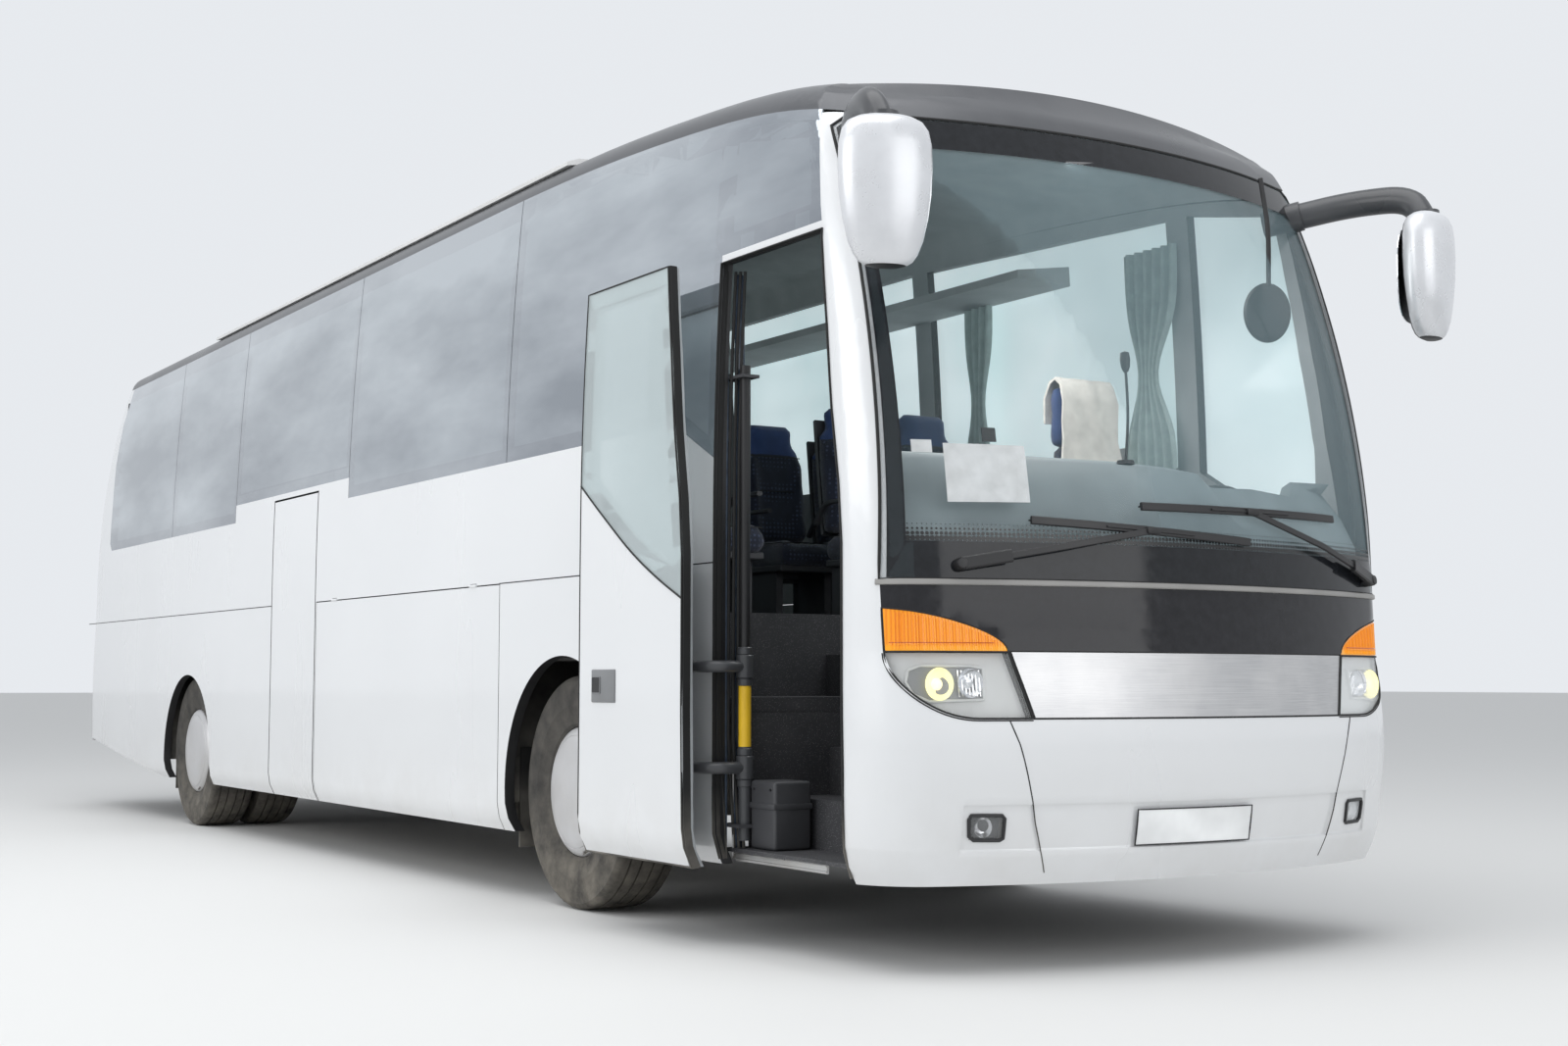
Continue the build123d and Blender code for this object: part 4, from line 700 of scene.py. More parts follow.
def sweep(bm, path, section, up=UP, loop=False, slot=0):
    """A bar of one section drawn along a path; up is a direction, or gives one at each point."""
    path = [Vector(point) for point in path]
    places = []
    for i, point in enumerate(path):
        before = path[i - 1] if i or loop else point
        after = path[(i + 1) % len(path)] if i + 1 < len(path) or loop else point
        along = (after - before).normalized()
        lift = Vector(up(point) if callable(up) else up)
        side = along.cross(lift).normalized()
        axes = Matrix((side, side.cross(along), along)).transposed()
        places.append(Matrix.Translation(point) @ axes.to_4x4())
    if loop:
        places.append(places[0])
    known = set(bm.faces)
    verts = [bm.verts.new(places[0] @ Vector((a, b, 0.0))) for a, b in section]
    edges = [bm.edges.new((verts[i - 1], verts[i])) for i in range(len(verts))]
    first, everything = edges, list(verts)
    for place, following in zip(places, places[1:]):
        grown = bmesh.ops.extrude_edge_only(bm, edges=edges)["geom"]
        verts = [part for part in grown if isinstance(part, bmesh.types.BMVert)]
        fresh = set(verts)
        edges = [part for part in grown
                 if isinstance(part, bmesh.types.BMEdge) and fresh.issuperset(part.verts)]
        bmesh.ops.transform(bm, matrix=following @ place.inverted(), verts=verts)
        everything += verts
    if loop:
        bmesh.ops.remove_doubles(bm, verts=everything, dist=MERGE)
    else:
        bmesh.ops.edgeloop_fill(bm, edges=first)
        bmesh.ops.edgeloop_fill(bm, edges=edges)
    turn_out(bm, known, slot)


def lathe(bm, profile, place, axis, steps=64, slot=0):
    """A profile of (radius, distance along the axis) points turned about an axis."""
    place, axis = Vector(place), Vector(axis).normalized()
    aside = axis.orthogonal().normalized()
    known = set(bm.faces)
    verts = [bm.verts.new(place + axis * far + aside * radius) for radius, far in profile]
    edges = [bm.edges.new(pair) for pair in zip(verts, verts[1:])]
    bmesh.ops.spin(bm, geom=verts + edges, cent=place, axis=axis, angle=2 * math.pi, steps=steps,
                   use_merge=True)
    made = [face for face in bm.faces if face not in known]
    verts = list({v for face in made for v in face.verts})
    bmesh.ops.remove_doubles(bm, verts=verts, dist=MERGE)
    turn_out(bm, known, slot)


def rounded_path(points, radius, steps=5, loop=False):
    """A path whose corners are drawn as short curves."""
    points = [Vector(point) for point in points]
    result = []
    count = len(points)
    for i, corner in enumerate(points):
        if not loop and i in (0, count - 1):
            result.append(corner)
            continue
        before, after = points[i - 1] - corner, points[(i + 1) % count] - corner
        start = corner + before * min(0.45, radius / before.length)
        end = corner + after * min(0.45, radius / after.length)
        for step in range(steps + 1):
            t = step / steps
            result.append(start * (1 - t) ** 2 + corner * 2 * t * (1 - t) + end * t * t)
    return result


def rounded_pairs(pairs, radius, steps, loop=False):
    """The same for a path of pairs of numbers."""
    return [(p.x, p.y) for p in rounded_path([(a, b, 0.0) for a, b in pairs], radius, steps, loop)]


def oblong(a0, b0, a1, b1):
    """The corners of a rectangle, as pairs."""
    return [(a0, b0), (a1, b0), (a1, b1), (a0, b1)]


def upright_ring(y, corners, radius, steps):
    """A closed path of (x, z) corners, rounded, across the coach at y."""
    return rounded_path([(x, y, z) for x, z in corners], radius, steps, loop=True)


def level_line(half, z):
    """A level line that reaches as far on both sides of the middle."""
    return [(-half, z), (half, z)]


def divided(points, step, loop=False):
    """A path with more points, so that it can follow a curved surface."""
    points = [Vector(point) for point in points]
    ends = points[1:] + ([points[0]] if loop else [])
    result = []
    for a, b in zip(points, ends):
        count = max(1, math.ceil((b - a).length / step))
        result += [a.lerp(b, i / count) for i in range(count)]
    return result if loop else result + [points[-1]]


def straight(rows, at):
    """The value of a table between its rows."""
    if at <= rows[0][0]:
        return rows[0][1]
    for (x0, y0), (x1, y1) in zip(rows, rows[1:]):
        if at <= x1:
            return y0 + (y1 - y0) * (at - x0) / (x1 - x0)
    return rows[-1][1]


SILL_Z = 0.44


def tuck(z):
    """How far a side draws in below the sill."""
    return 0.04 * (max(0.0, SILL_Z - z) / 0.13) ** 2


WIDTH_SET = [(z, HALF - tuck(z) - lean(z))
             for z in (0.31, 0.37, SILL_Z, 1.7, 2.05, 2.4, 2.75, 3.0, 3.24, 3.7)]
PLAN_R = 3.0
CORNER_SET = [(0.31, 0.3), (1.12, 0.3), (1.35, 0.27), (1.7, 0.225), (2.05, 0.2), (2.4, 0.17),
              (2.75, 0.15), (3.0, 0.135), (3.24, 0.13)]


def side_y(z):
    """Half the body's width at a height."""
    return straight(WIDTH_SET, z) + rounding(LEAN_SET, z)


def nose_x(y, z):
    """Where the nose is, at a distance from the middle and a height."""
    half, corner = side_y(z), straight(CORNER_SET, z)
    tip = FRONT_X - straight(NOSE_SET, z) - rounding(NOSE_SET, z)
    turn = math.asin((half - corner) / (PLAN_R - corner))
    if abs(y) <= PLAN_R * math.sin(turn):
        return tip - PLAN_R + math.sqrt(PLAN_R ** 2 - y * y)
    middle = tip - PLAN_R + (PLAN_R - corner) * math.cos(turn)
    return middle + math.sqrt(max(0.0, corner ** 2 - (abs(y) - half + corner) ** 2))


def nose_out(point):
    """Straight out from the nose at a point."""
    return Vector((1.0, point[1] / PLAN_R, 0.12 + 0.25 * max(0.0, point[2] - 1.5)))


def on_nose(points, lift=0.0, step=0.06, loop=False):
    """A path of (y, z) points laid on the nose."""
    flat = divided([(y, z, 0.0) for y, z in points], step, loop)
    return [(nose_x(p.x, p.y) + lift, p.x, p.y) for p in flat]


def on_side(points, side, lift=0.0, step=0.1, loop=False, shift=(0.0, 0.0)):
    """A path of (x, z) points laid on one side of the body."""
    flat = divided([(x, z, 0.0) for x, z in points], step, loop)
    return [(p.x + shift[0], side * (side_y(p.y) + lift) + shift[1], p.y) for p in flat]


# Stage, light and camera

def make_stage():
    bm = bmesh.new()
    bmesh.ops.create_grid(bm, x_segments=1, y_segments=1, size=150.0)
    mesh = bpy.data.meshes.new("floor")
    bm.to_mesh(mesh)
    bm.free()
    shader = Shader("pale_floor")
    shader.set(Base_Color=(0.70, 0.70, 0.69), Roughness=0.9)
    mesh.materials.append(shader.material)
    link(bpy.data.objects.new("floor", mesh))


WORLD_LIGHT = 0.72
WORLD_SEEN = 0.86


def greater(tree, a, b):
    """The greater of two sockets."""
    made = tree.nodes.new("ShaderNodeMath")
    made.operation = "MAXIMUM"
    tree.links.new(a, made.inputs[0])
    tree.links.new(b, made.inputs[1])
    return made.outputs[0]


def make_world():
    """A pale world, a little brighter where it is seen, directly or in gloss or glass, than as light."""
    world = bpy.data.worlds.new("pale_studio")
    bpy.context.scene.world = world
    world.use_nodes = True
    tree = world.node_tree
    background = tree.nodes["Background"]
    path = tree.nodes.new("ShaderNodeLightPath").outputs
    seen = greater(tree, path["Is Camera Ray"], path["Is Transmission Ray"])
    strength = tree.nodes.new("ShaderNodeMapRange")
    strength.inputs["To Min"].default_value = WORLD_LIGHT
    strength.inputs["To Max"].default_value = WORLD_SEEN
    tree.links.new(greater(tree, seen, path["Is Glossy Ray"]), strength.inputs["Value"])
    background.inputs["Color"].default_value = (0.93, 0.96, 1.0, 1.0)
    tree.links.new(strength.outputs[0], background.inputs["Strength"])


def soft_lamp(name, place, target, size, power):
    data = bpy.data.lights.new(name, "AREA")
    data.shape = "RECTANGLE"
    data.size, data.size_y = size
    data.energy = power
    lamp_object = link(bpy.data.objects.new(name, data))
    lamp_object.location = place
    aim = Vector(target) - Vector(place)
    lamp_object.rotation_euler = aim.to_track_quat("-Z", "Y").to_euler()


CAMERA_PLACE = (11.370, -5.153, 1.016)
CAMERA_TURN = math.radians(31.76)
CAMERA_TILT = math.radians(4.49)
CAMERA_ROLL = 0.0013
CAMERA_LENS = 46.03


def make_camera():
    data = bpy.data.cameras.new("photo_camera")
    data.lens = CAMERA_LENS
    data.sensor_width = 36.0
    data.clip_end = 400.0
    camera = link(bpy.data.objects.new("photo_camera", data))
    flat = math.cos(CAMERA_TILT)
    ahead = Vector((-math.cos(CAMERA_TURN) * flat, math.sin(CAMERA_TURN) * flat, math.sin(CAMERA_TILT)))
    turn = ahead.to_track_quat("-Z", "Y").to_matrix() @ Matrix.Rotation(CAMERA_ROLL, 3, "Z")
    camera.matrix_world = Matrix.Translation(CAMERA_PLACE) @ turn.to_4x4()
    bpy.context.scene.camera = camera


make_stage()
make_world()
soft_lamp("sky_light", (4.0, -4.0, 12.0), (0.0, 0.0, 1.0), (14.0, 9.0), 900.0)
soft_lamp("side_light", (2.0, -14.0, 6.0), (0.0, 0.0, 1.6), (12.0, 6.0), 520.0)
soft_lamp("front_light", (16.0, 2.0, 5.0), (4.0, 0.0, 1.6), (8.0, 5.0), 240.0)
soft_lamp("cab_light", (4.75, 0.0, 2.72), (5.2, 0.1, 1.5), (0.9, 1.6), 16.0)
make_camera()
bpy.context.scene.view_settings.view_transform = "Standard"


# Outlines on the nose, as (distance from the middle, height) points

LAMP_EDGE = 1.215
LAMP_ROUND = 0.280
LAMP_TIP = 0.820
LAMP_KNEE = (0.785, 1.0)
LAMP_FOOT = 0.752
INDICATOR_TOP = (1.219, 1.267)


def lamp_edge(degrees):
    """A point on a headlamp's round outer edge: 0 at its side, 90 at its foot."""
    turn = math.radians(degrees)
    fall = (STRIP_HIGH - STRIP_LOW) * math.sin(turn)
    return LAMP_EDGE - LAMP_ROUND * (1 - math.cos(turn)), STRIP_HIGH - fall


def indicator_edge(degrees):
    """A point on an indicator's sloping round top: 90 at its outer corner, 0 at its tip."""
    turn = math.radians(degrees)
    inwards = (INDICATOR_TOP[0] - LAMP_TIP) * math.cos(turn)
    rise = INDICATOR_TOP[1] - STRIP_HIGH - 0.1 * inwards
    return INDICATOR_TOP[0] - inwards, STRIP_HIGH + rise * math.sin(turn)


LAMP_ANGLES = (0, 25, 45, 65, 90)
INDICATOR_ANGLES = (10, 22, 42, 65, 90)
ON_CURVE = 0.0007
CURVE_CUTS = 4


def follow_curve(bm, curve, angles):
    """Draws a panel's edge on a curve where the solid has a few straight runs."""
    corners = [Vector(curve(angle)) for angle in angles]

    def angle_at(vert):
        spot = Vector((abs(vert.co.y), vert.co.z))
        for a, b, p, q in zip(angles, angles[1:], corners, corners[1:]):
            run, away = q - p, spot - p
            share = away.dot(run) / run.length_squared
            if -0.002 < share < 1.002 and (away - run * share).length < ON_CURVE:
                return a + (b - a) * min(1.0, max(0.0, share))
        return None

    marked = {vert: angle_at(vert) for vert in bm.verts}
    marked = {vert: angle for vert, angle in marked.items() if angle is not None}
    edges = [
        edge for edge in bm.edges
        if all(v in marked for v in edge.verts) and abs(marked[edge.verts[0]] - marked[edge.verts[1]]) > 4.0
    ]
    bmesh.ops.subdivide_edges(bm, edges=edges, cuts=CURVE_CUTS)
    for vert in bm.verts:
        angle = angle_at(vert)
        if angle is not None:
            y, z = curve(angle)
            vert.co.y, vert.co.z = math.copysign(y, vert.co.y), z


def nose_patch(bm, outline, lift=0.0, thick=0.0, step=0.05, slot=0, side=1):
    """A sheet that lies on the nose inside an outline of (y, z) points."""
    known = set(bm.faces)
    bm.faces.new([bm.verts.new((0.0, side * y, z)) for y, z in outline])

    def made():
        return [face for face in bm.faces if face not in known]

    for axis in (1, 2):
        reach = [vert.co[axis] for face in made() for vert in face.verts]
        place = (math.floor(min(reach) / step) + 1) * step
        while place < max(reach) - 0.002:
            faces = made()
            edges, verts = {e for f in faces for e in f.edges}, {v for f in faces for v in f.verts}
            cut_across(bm, axis, place, faces + list(edges) + list(verts), dist=0.0003)
            place += step
    faces = made()
    for vert in {v for f in faces for v in f.verts}:
        vert.co.x = nose_x(vert.co.y, vert.co.z) + lift
    for face in faces:
        face.normal_update()
    if sum(face.normal.x * face.calc_area() for face in faces) < 0:
        bmesh.ops.reverse_faces(bm, faces=faces)
    if thick:
        bmesh.ops.solidify(bm, geom=faces, thickness=thick)
        bmesh.ops.recalc_face_normals(bm, faces=made())
    for face in made():
        face.material_index = slot


def bar(width, height):
    """A strip's section with its corners cut, width across and height outwards."""
    w, h, cut = width / 2, height / 2, min(width, height) * 0.22
    return [(-w, -h + cut), (-w + cut, -h), (w - cut, -h), (w, -h + cut), (w, h - cut), (w - cut, h),
            (-w + cut, h), (-w, h - cut)]


# Body panels

DOOR_SHIFT = (-0.839616, -0.175405)
BODY_STATIONS = [AXLE + x for x in (-0.5, -0.2, 0.1, 0.4, 0.7, 1.0, 1.3, 1.5, 1.6, 1.8, 1.9, 2.0, 2.1)]
GAP = 0.0022
# The bumper's lower insert: half its width, its foot and its head
INSERT = (0.983, 0.432, 0.586)
INSERT_STEP = 0.004
INSERT_DEPTH = 0.009
ON_EDGE = 0.0005


def insert_press(spot):
    """How far the bumper's lower insert is set back at a point."""
    half, low, high = INSERT
    within = abs(spot.y) <= half + ON_EDGE and low - ON_EDGE <= spot.z <= high + ON_EDGE
    return INSERT_DEPTH if within and spot.x > FRONT_X - 0.6 else 0.0


INSERT_CUTS = [(1, side * (INSERT[0] + step)) for side in SIDES for step in (0.0, INSERT_STEP)] + [
    (2, INSERT[1]), (2, INSERT[1] - INSERT_STEP), (2, INSERT[2]), (2, INSERT[2] + INSERT_STEP)]
SIDE_SLOTS = (BLACK_PLASTIC, LINING)
for side_name in ("left", "right"):
    body_panel(f"side_wall_{side_name}", f"{side_name}_side_panels", "coach", PAINT,
               stations=BODY_STATIONS, slots=SIDE_SLOTS, inside=inner_of_side)
    body_panel(f"side_glass_{side_name}", f"{side_name}_side_panes", "coach", SKY_PAINTED_GLASS,
               stations=BODY_STATIONS, slots=(PAINTED_DAYLIGHT,), inside=inner_of_pane)
body_panel("roof", "roof_skin", "coach", GRAPHITE, stations=BODY_STATIONS, slots=(LINING,),
           inside=inner_of_roof)
body_panel("bumper", "bumper_skin", "coach", PAINT, seams=[(2, STRIP_LOW, -GAP)], slots=(HOUSING,),
           curve=(lamp_edge, LAMP_ANGLES), cuts=INSERT_CUTS, press=insert_press, inside=inner_of_nose)
body_panel("front_strip", "brushed_front_strip", "coach", TRIM,
           seams=[(2, STRIP_LOW, GAP), (2, STRIP_HIGH, -GAP)], slots=(HOUSING,), inside=inner_of_nose)
body_panel("front_mask", "black_front_mask", "coach", BLACK,
           seams=[(2, STRIP_HIGH, GAP), (2, SCREEN_BASE, -GAP)], slots=(HOUSING,),
           curve=(indicator_edge, INDICATOR_ANGLES), inside=inner_of_nose)
body_panel("windscreen", "curved_windscreen", "coach", SCREEN_GLASS)
body_panel("windscreen_frame", "windscreen_posts", "coach", PAINT, seams=[(2, SCREEN_TOP, -GAP)],
           slots=(BLACK_PLASTIC,), inside=inner_of_nose)
body_panel("rear_wall", "rear_panels", "coach", PAINT)
body_panel("rear_window", "rear_pane", "coach", SKY_PAINTED_GLASS)
body_panel("rear_bumper", "rear_bumper_skin", "coach", PAINT, seams=[(2, 0.68, -GAP)])
body_panel("engine_lid", "engine_lid_skin", "engine_cover", PAINT)
body_panel("front_door", "front_door_skin", "front_door_leaf", PAINT, shift=DOOR_SHIFT,
           slots=(DOOR_FRAME,), inside=inner_of_leaf)
body_panel("front_door_glass", "front_door_pane", "front_door_leaf", CLEAR_GLASS, shift=DOOR_SHIFT)
for node, name, body in (("mid_door", "mid_door_skin", "mid_door_leaf"),
                         ("luggage_flap_left_1", "rear_left_flap_skin", "flap_left_rear"),
                         ("luggage_flap_left_2", "front_left_flap_skin", "flap_left_front"),
                         ("luggage_flap_right", "right_flap_skin", "flap_right")):
    body_panel(node, name, body, PAINT, slots=SIDE_SLOTS, inside=inner_of_side)


LAMP_LINE = [lamp_edge(d) for d in range(0, 91, 5)]
INDICATOR_LINE = [indicator_edge(d) for d in (90, 84, 78, 72, 65, 58, 50, 42, 35, 28, 22, 16, 10, 5)]
SLANT = [(LAMP_TIP, STRIP_HIGH), LAMP_KNEE, (LAMP_FOOT, STRIP_LOW)]
HEADLAMP = [(LAMP_TIP, STRIP_HIGH)] + LAMP_LINE + [(LAMP_FOOT, STRIP_LOW), LAMP_KNEE]
POCKET = [(0.905, 0.950), (1.09, 0.944), (1.138, 0.968), (1.156, 1.010), (1.146, 1.052), (1.11, 1.068),
          (0.94, 1.066), (0.898, 1.058)]
FOG = [(0.838, 0.474), (0.85, 0.467), (0.94, 0.469), (0.957, 0.482), (0.962, 0.54), (0.955, 0.555),
       (0.848, 0.553), (0.838, 0.542)]


def inset(outline, by):
    """An outline drawn in towards its middle."""
    middle_y = sum(y for y, z in outline) / len(outline)
    middle_z = sum(z for y, z in outline) / len(outline)
    half = max(math.hypot(y - middle_y, z - middle_z) for y, z in outline)
    keep = 1 - by / half
    return [(middle_y + (y - middle_y) * keep, middle_z + (z - middle_z) * keep) for y, z in outline]


def on_front(points, side, lift=0.0, step=0.03, loop=False):
    """A path on the nose given as distances from the middle on one side."""
    return on_nose([(side * y, z) for y, z in points], lift, step, loop)


def front_bar(bm, points, side, section, lift=0.0, loop=False, slot=0):
    """A bar laid on one side of the nose, along points given from the middle."""
    sweep(bm, on_front(points, side, lift, loop=loop), section, up=nose_out, loop=loop, slot=slot)


def nose_bar(bm, points, section, lift=0.0, loop=False, slot=0, step=0.06):
    """A bar laid across the nose, along (y, z) points."""
    sweep(bm, on_nose(points, lift, step, loop), section, up=nose_out, loop=loop, slot=slot)


def nose_point(y, z, lift):
    return Vector((nose_x(y, z) + lift, y, z))


# Columns: distance from the middle, height, radius, slot of the dish, slot of the bulb
LAMP_DISHES = ((1.060, 1.004, 0.054, 2, 1), (0.955, 1.008, 0.048, 0, 0))
BULB = [(0.0, 0.008), (0.014, 0.005), (0.021, -0.004), (0.021, -0.012)]
LAMP_RIBS = [0.915 + 0.012 * k for k in range(7)]


def lamp_dishes(bm, side):
    """A headlamp's two dishes with their bulbs, and the bright ribs inside the pocket."""
    out = (1.0, 0.10 * side, 0.02)
    for y, z, radius, dish_slot, bulb_slot in LAMP_DISHES:
        place = Vector((nose_x(y, z) - 0.021, side * y, z))
        dish = [(0.012, -0.012), (radius * 0.6, -0.008), (radius, 0.008), (radius + 0.003, 0.012)]
        lathe(bm, dish, place, out, 40, dish_slot)
        lathe(bm, BULB, place, out, 24, bulb_slot)
    for y in LAMP_RIBS:
        front_bar(bm, [(y, 0.962), (y, 1.052)], side, bar(0.006, 0.006), -0.027)


def lamp_seals(bm, side):
    """Two dark lines along a headlamp's round edge and two along its slanted one."""
    for shift, thickness in ((0.0, 0.0035), (0.007, 0.0025)):
        low = [(y + shift * 0.6, z - shift) for y, z in LAMP_LINE]
        low.append((LAMP_FOOT - 0.001, STRIP_LOW - shift))
        front_bar(bm, low, side, oval(8, thickness), 0.0005, slot=2)
        front_bar(bm, [(y - shift, z) for y, z in SLANT], side, oval(8, 0.0038), 0.0005, slot=2)


def make_headlamps():
    shell, lens, bright = bmesh.new(), bmesh.new(), bmesh.new()
    for side in SIDES:
        nose_patch(shell, inset(HEADLAMP, 0.004), lift=-0.034, side=side)
        front_bar(shell, POCKET, side, bar(0.010, 0.014), -0.029, loop=True)
        nose_patch(shell, inset(POCKET, 0.004), lift=-0.0325, slot=1, side=side)
        nose_patch(lens, inset(HEADLAMP, 0.003), lift=-0.004, thick=0.004, side=side)
        lamp_dishes(bright, side)
        lamp_seals(shell, side)
    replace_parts(new_object("headlamp_shells", shell, SHELL, slots=(SOCKET, SEAL)), "headlamps")
    new_object("headlamp_lenses", lens, LENS)
    new_object("headlamp_reflectors", bright, REFLECTOR, slots=(GLOW, WARM))


INDICATOR_RIBS = 46


def make_indicators():
    """The amber lenses, each with upright ribs, two lines along its foot and a dark seal."""
    bm = bmesh.new()
    for side in SIDES:
        outline = inset([(LAMP_TIP, STRIP_HIGH), (LAMP_EDGE, STRIP_HIGH)] + INDICATOR_LINE, 0.004)
        nose_patch(bm, outline, lift=-0.001, thick=0.006, side=side)
        for k in range(1, INDICATOR_RIBS):
            y = LAMP_TIP + 0.02 + (LAMP_EDGE - LAMP_TIP - 0.03) * k / INDICATOR_RIBS
            top = straight(sorted(INDICATOR_LINE), y) - 0.012
            if top - STRIP_HIGH > 0.03:
                front_bar(bm, [(y, STRIP_HIGH + 0.006), (y, top)], side, oval(6, 0.0026, 0.0013), -0.0006)
        for rise, slot in ((0.024, 0), (0.030, 1)):
            line = [(LAMP_TIP + 0.05, STRIP_HIGH + rise), (LAMP_EDGE - 0.012, STRIP_HIGH + rise)]
            front_bar(bm, line, side, oval(6, 0.0016), 0.0004, slot=slot)
        foot = [(LAMP_TIP - 0.01, STRIP_HIGH - 0.002), (LAMP_EDGE, STRIP_HIGH - 0.002)]
        front_bar(bm, foot, side, oval(8, 0.004), slot=2)
        front_bar(bm, [(LAMP_EDGE, STRIP_HIGH)] + INDICATOR_LINE, side, oval(8, 0.0028), -0.001, slot=2)
    lenses = new_object("ribbed_indicator_lenses", bm, AMBER, slots=(AMBER_DARK, SEAL))
    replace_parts(lenses, "front_indicators")


FOG_BOWL = [(0.004, -0.008), (0.022, -0.004), (0.036, 0.010)]
FOG_MIDDLE = (0.902, 0.512)


def make_fog_lamps():
    bowls, lenses = bmesh.new(), bmesh.new()
    y, z = FOG_MIDDLE
    for side in SIDES:
        front_bar(bowls, FOG, side, bar(0.012, 0.012), -0.006, loop=True)
        nose_patch(bowls, inset(FOG, 0.001), lift=-0.034, side=side)
        place = Vector((nose_x(y, z) - 0.030, side * y, z))
        lathe(bowls, FOG_BOWL, place, (1.0, 0.12 * side, 0.0), 36, 1)
        nose_patch(lenses, inset(FOG, 0.005), lift=-0.009, thick=0.003, side=side)
    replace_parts(new_object("fog_lamp_bowls", bowls, BLACK_PLASTIC, slots=(REFLECTOR,)), "fog_lamps")
    new_object("fog_lamp_lenses", lenses, LENS)


def make_front_plate():
    """The blank plate in its black rim."""
    bm = bmesh.new()
    plate = oblong(-0.33, 0.437, 0.21, 0.563)
    nose_patch(bm, plate, lift=0.003, thick=0.003, step=0.09)
    nose_bar(bm, plate, bar(0.005, 0.006), 0.003, loop=True, slot=1)
    new_object("blank_front_plate", bm, PLATE, slots=(BLACK_PLASTIC,))


BUMPER_JOINT = [(0.835, 0.879), (0.801, 0.795), (0.771, 0.694), (0.745, 0.600), (0.730, 0.524),
                (0.700, 0.430), (0.670, 0.351)]


def make_front_joints():
    """The joints down the bumper and along the strip, and the moulding below the screen."""
    bm = bmesh.new()
    for side in SIDES:
        front_bar(bm, BUMPER_JOINT, side, oval(8, 0.0024), -0.0006)
    nose_bar(bm, level_line(0.75, STRIP_LOW - 0.001), oval(8, 0.0038), -0.001)
    nose_bar(bm, level_line(0.82, STRIP_HIGH + 0.001), oval(8, 0.003), -0.002)
    new_object("front_panel_joints", bm, SEAL)
    bm = bmesh.new()
    nose_bar(bm, level_line(1.232, 1.357), bar(0.020, 0.014), 0.004)
    new_object("screen_foot_moulding", bm, MOULDING)


# The screen's border on one side, from its foot to the middle of its top
BORDER_OUTER = [(1.206, 1.372), (1.166, 3.052), (1.104, 3.104)]
BORDER_INNER = [(1.150, 1.500), (1.128, 2.93), (1.05, 2.985)]
# Columns: half width and height of a band's two long edges, slot
BORDER_BANDS = (((1.206, 1.372), (1.15, 1.50), 0), ((1.15, 1.501), (1.149, 1.565), 1),
                ((1.104, 3.104), (1.05, 2.985), 0))
SCREEN_EDGE = [(-1.223, 1.366), (1.223, 1.366), (1.178, 3.06), (1.108, 3.113), (-1.108, 3.113),
               (-1.178, 3.06)]


def make_screen_border():
    """The screen's black border with its dotted band, and the seal round the glass."""
    bm = bmesh.new()
    for side in SIDES:
        for outline in (BORDER_OUTER[:2] + BORDER_INNER[1::-1], BORDER_OUTER[1:] + BORDER_INNER[:0:-1]):
            nose_patch(bm, outline, lift=0.001, step=0.08, side=side)
    for low, high, slot in BORDER_BANDS:
        nose_patch(bm, level_line(*low) + level_line(*high)[::-1], lift=0.001, step=0.08, slot=slot)
    new_object("screen_black_border", bm, BORDER, slots=(DOTTED,))
    bm = bmesh.new()
    nose_bar(bm, SCREEN_EDGE, oval(8, 0.006), loop=True)
    new_object("screen_seal", bm, SEAL)


WIPER_PIVOT_Z = 1.42
# Columns: the pivot's y, then y and y, z and z of the blade's ends
WIPERS = ((-0.985, -0.720, 0.250, 1.579, 1.532), (1.095, 0.810, -0.270, 1.650, 1.643))
WIPER_HUB = [(0.0, 0.018), (0.017, 0.016), (0.022, 0.006), (0.024, -0.05), (0.0, -0.05)]
WIPER_JOINT = Vector((0.012, 0.03, 0.012))


def make_wipers():
    bm = bmesh.new()
    for pivot, y0, y1, z0, z1 in WIPERS:
        middle = (y0 + y1) / 2, (z0 + z1) / 2
        halfway = (pivot + middle[0]) / 2, (WIPER_PIVOT_Z + middle[1]) / 2
        hub = nose_point(pivot, WIPER_PIVOT_Z, 0.030)
        elbow, tip = nose_point(*halfway, 0.048), nose_point(*middle, 0.026)
        heel = hub.lerp(elbow, 0.45) + AHEAD * 0.012
        lathe(bm, WIPER_HUB, hub, nose_out(hub), 32)
        sweep(bm, [hub, heel], bar(0.046, 0.024), up=nose_out)
        sweep(bm, [heel, elbow, tip], bar(0.024, 0.012), up=nose_out)
        block(bm, tip - WIPER_JOINT, tip + WIPER_JOINT, 0.004)
        line = [(y0 + (y1 - y0) * i / 10, z0 + (z1 - z0) * i / 10) for i in range(11)]
        nose_bar(bm, line, bar(0.030, 0.014), 0.017, step=0.2)
        nose_bar(bm, line, bar(0.005, 0.012), 0.005, step=0.2)
        nose_bar(bm, line[3:8], bar(0.008, 0.008), 0.025, step=0.2)
    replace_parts(new_object("jointed_wipers", bm, BLACK_PLASTIC), "wipers")


def loft(bm, rings, slot=0):
    """A closed skin over rings of points, one after another."""
    known = set(bm.faces)
    loops = []
    for ring in rings:
        verts = [bm.verts.new(point) for point in ring]
        loops.append([bm.edges.new((verts[i - 1], verts[i])) for i in range(len(verts))])
    for a, b in zip(loops, loops[1:]):
        bmesh.ops.bridge_loops(bm, edges=a + b)
    for end in (loops[0], loops[-1]):
        bmesh.ops.edgeloop_fill(bm, edges=end)
    return turn_out(bm, known, slot)


MIRROR_X = AXLE + 2.655
MIRROR_Y = 1.350
MIRROR_TOP = 2.925
MIRROR_TOE = math.radians(20)
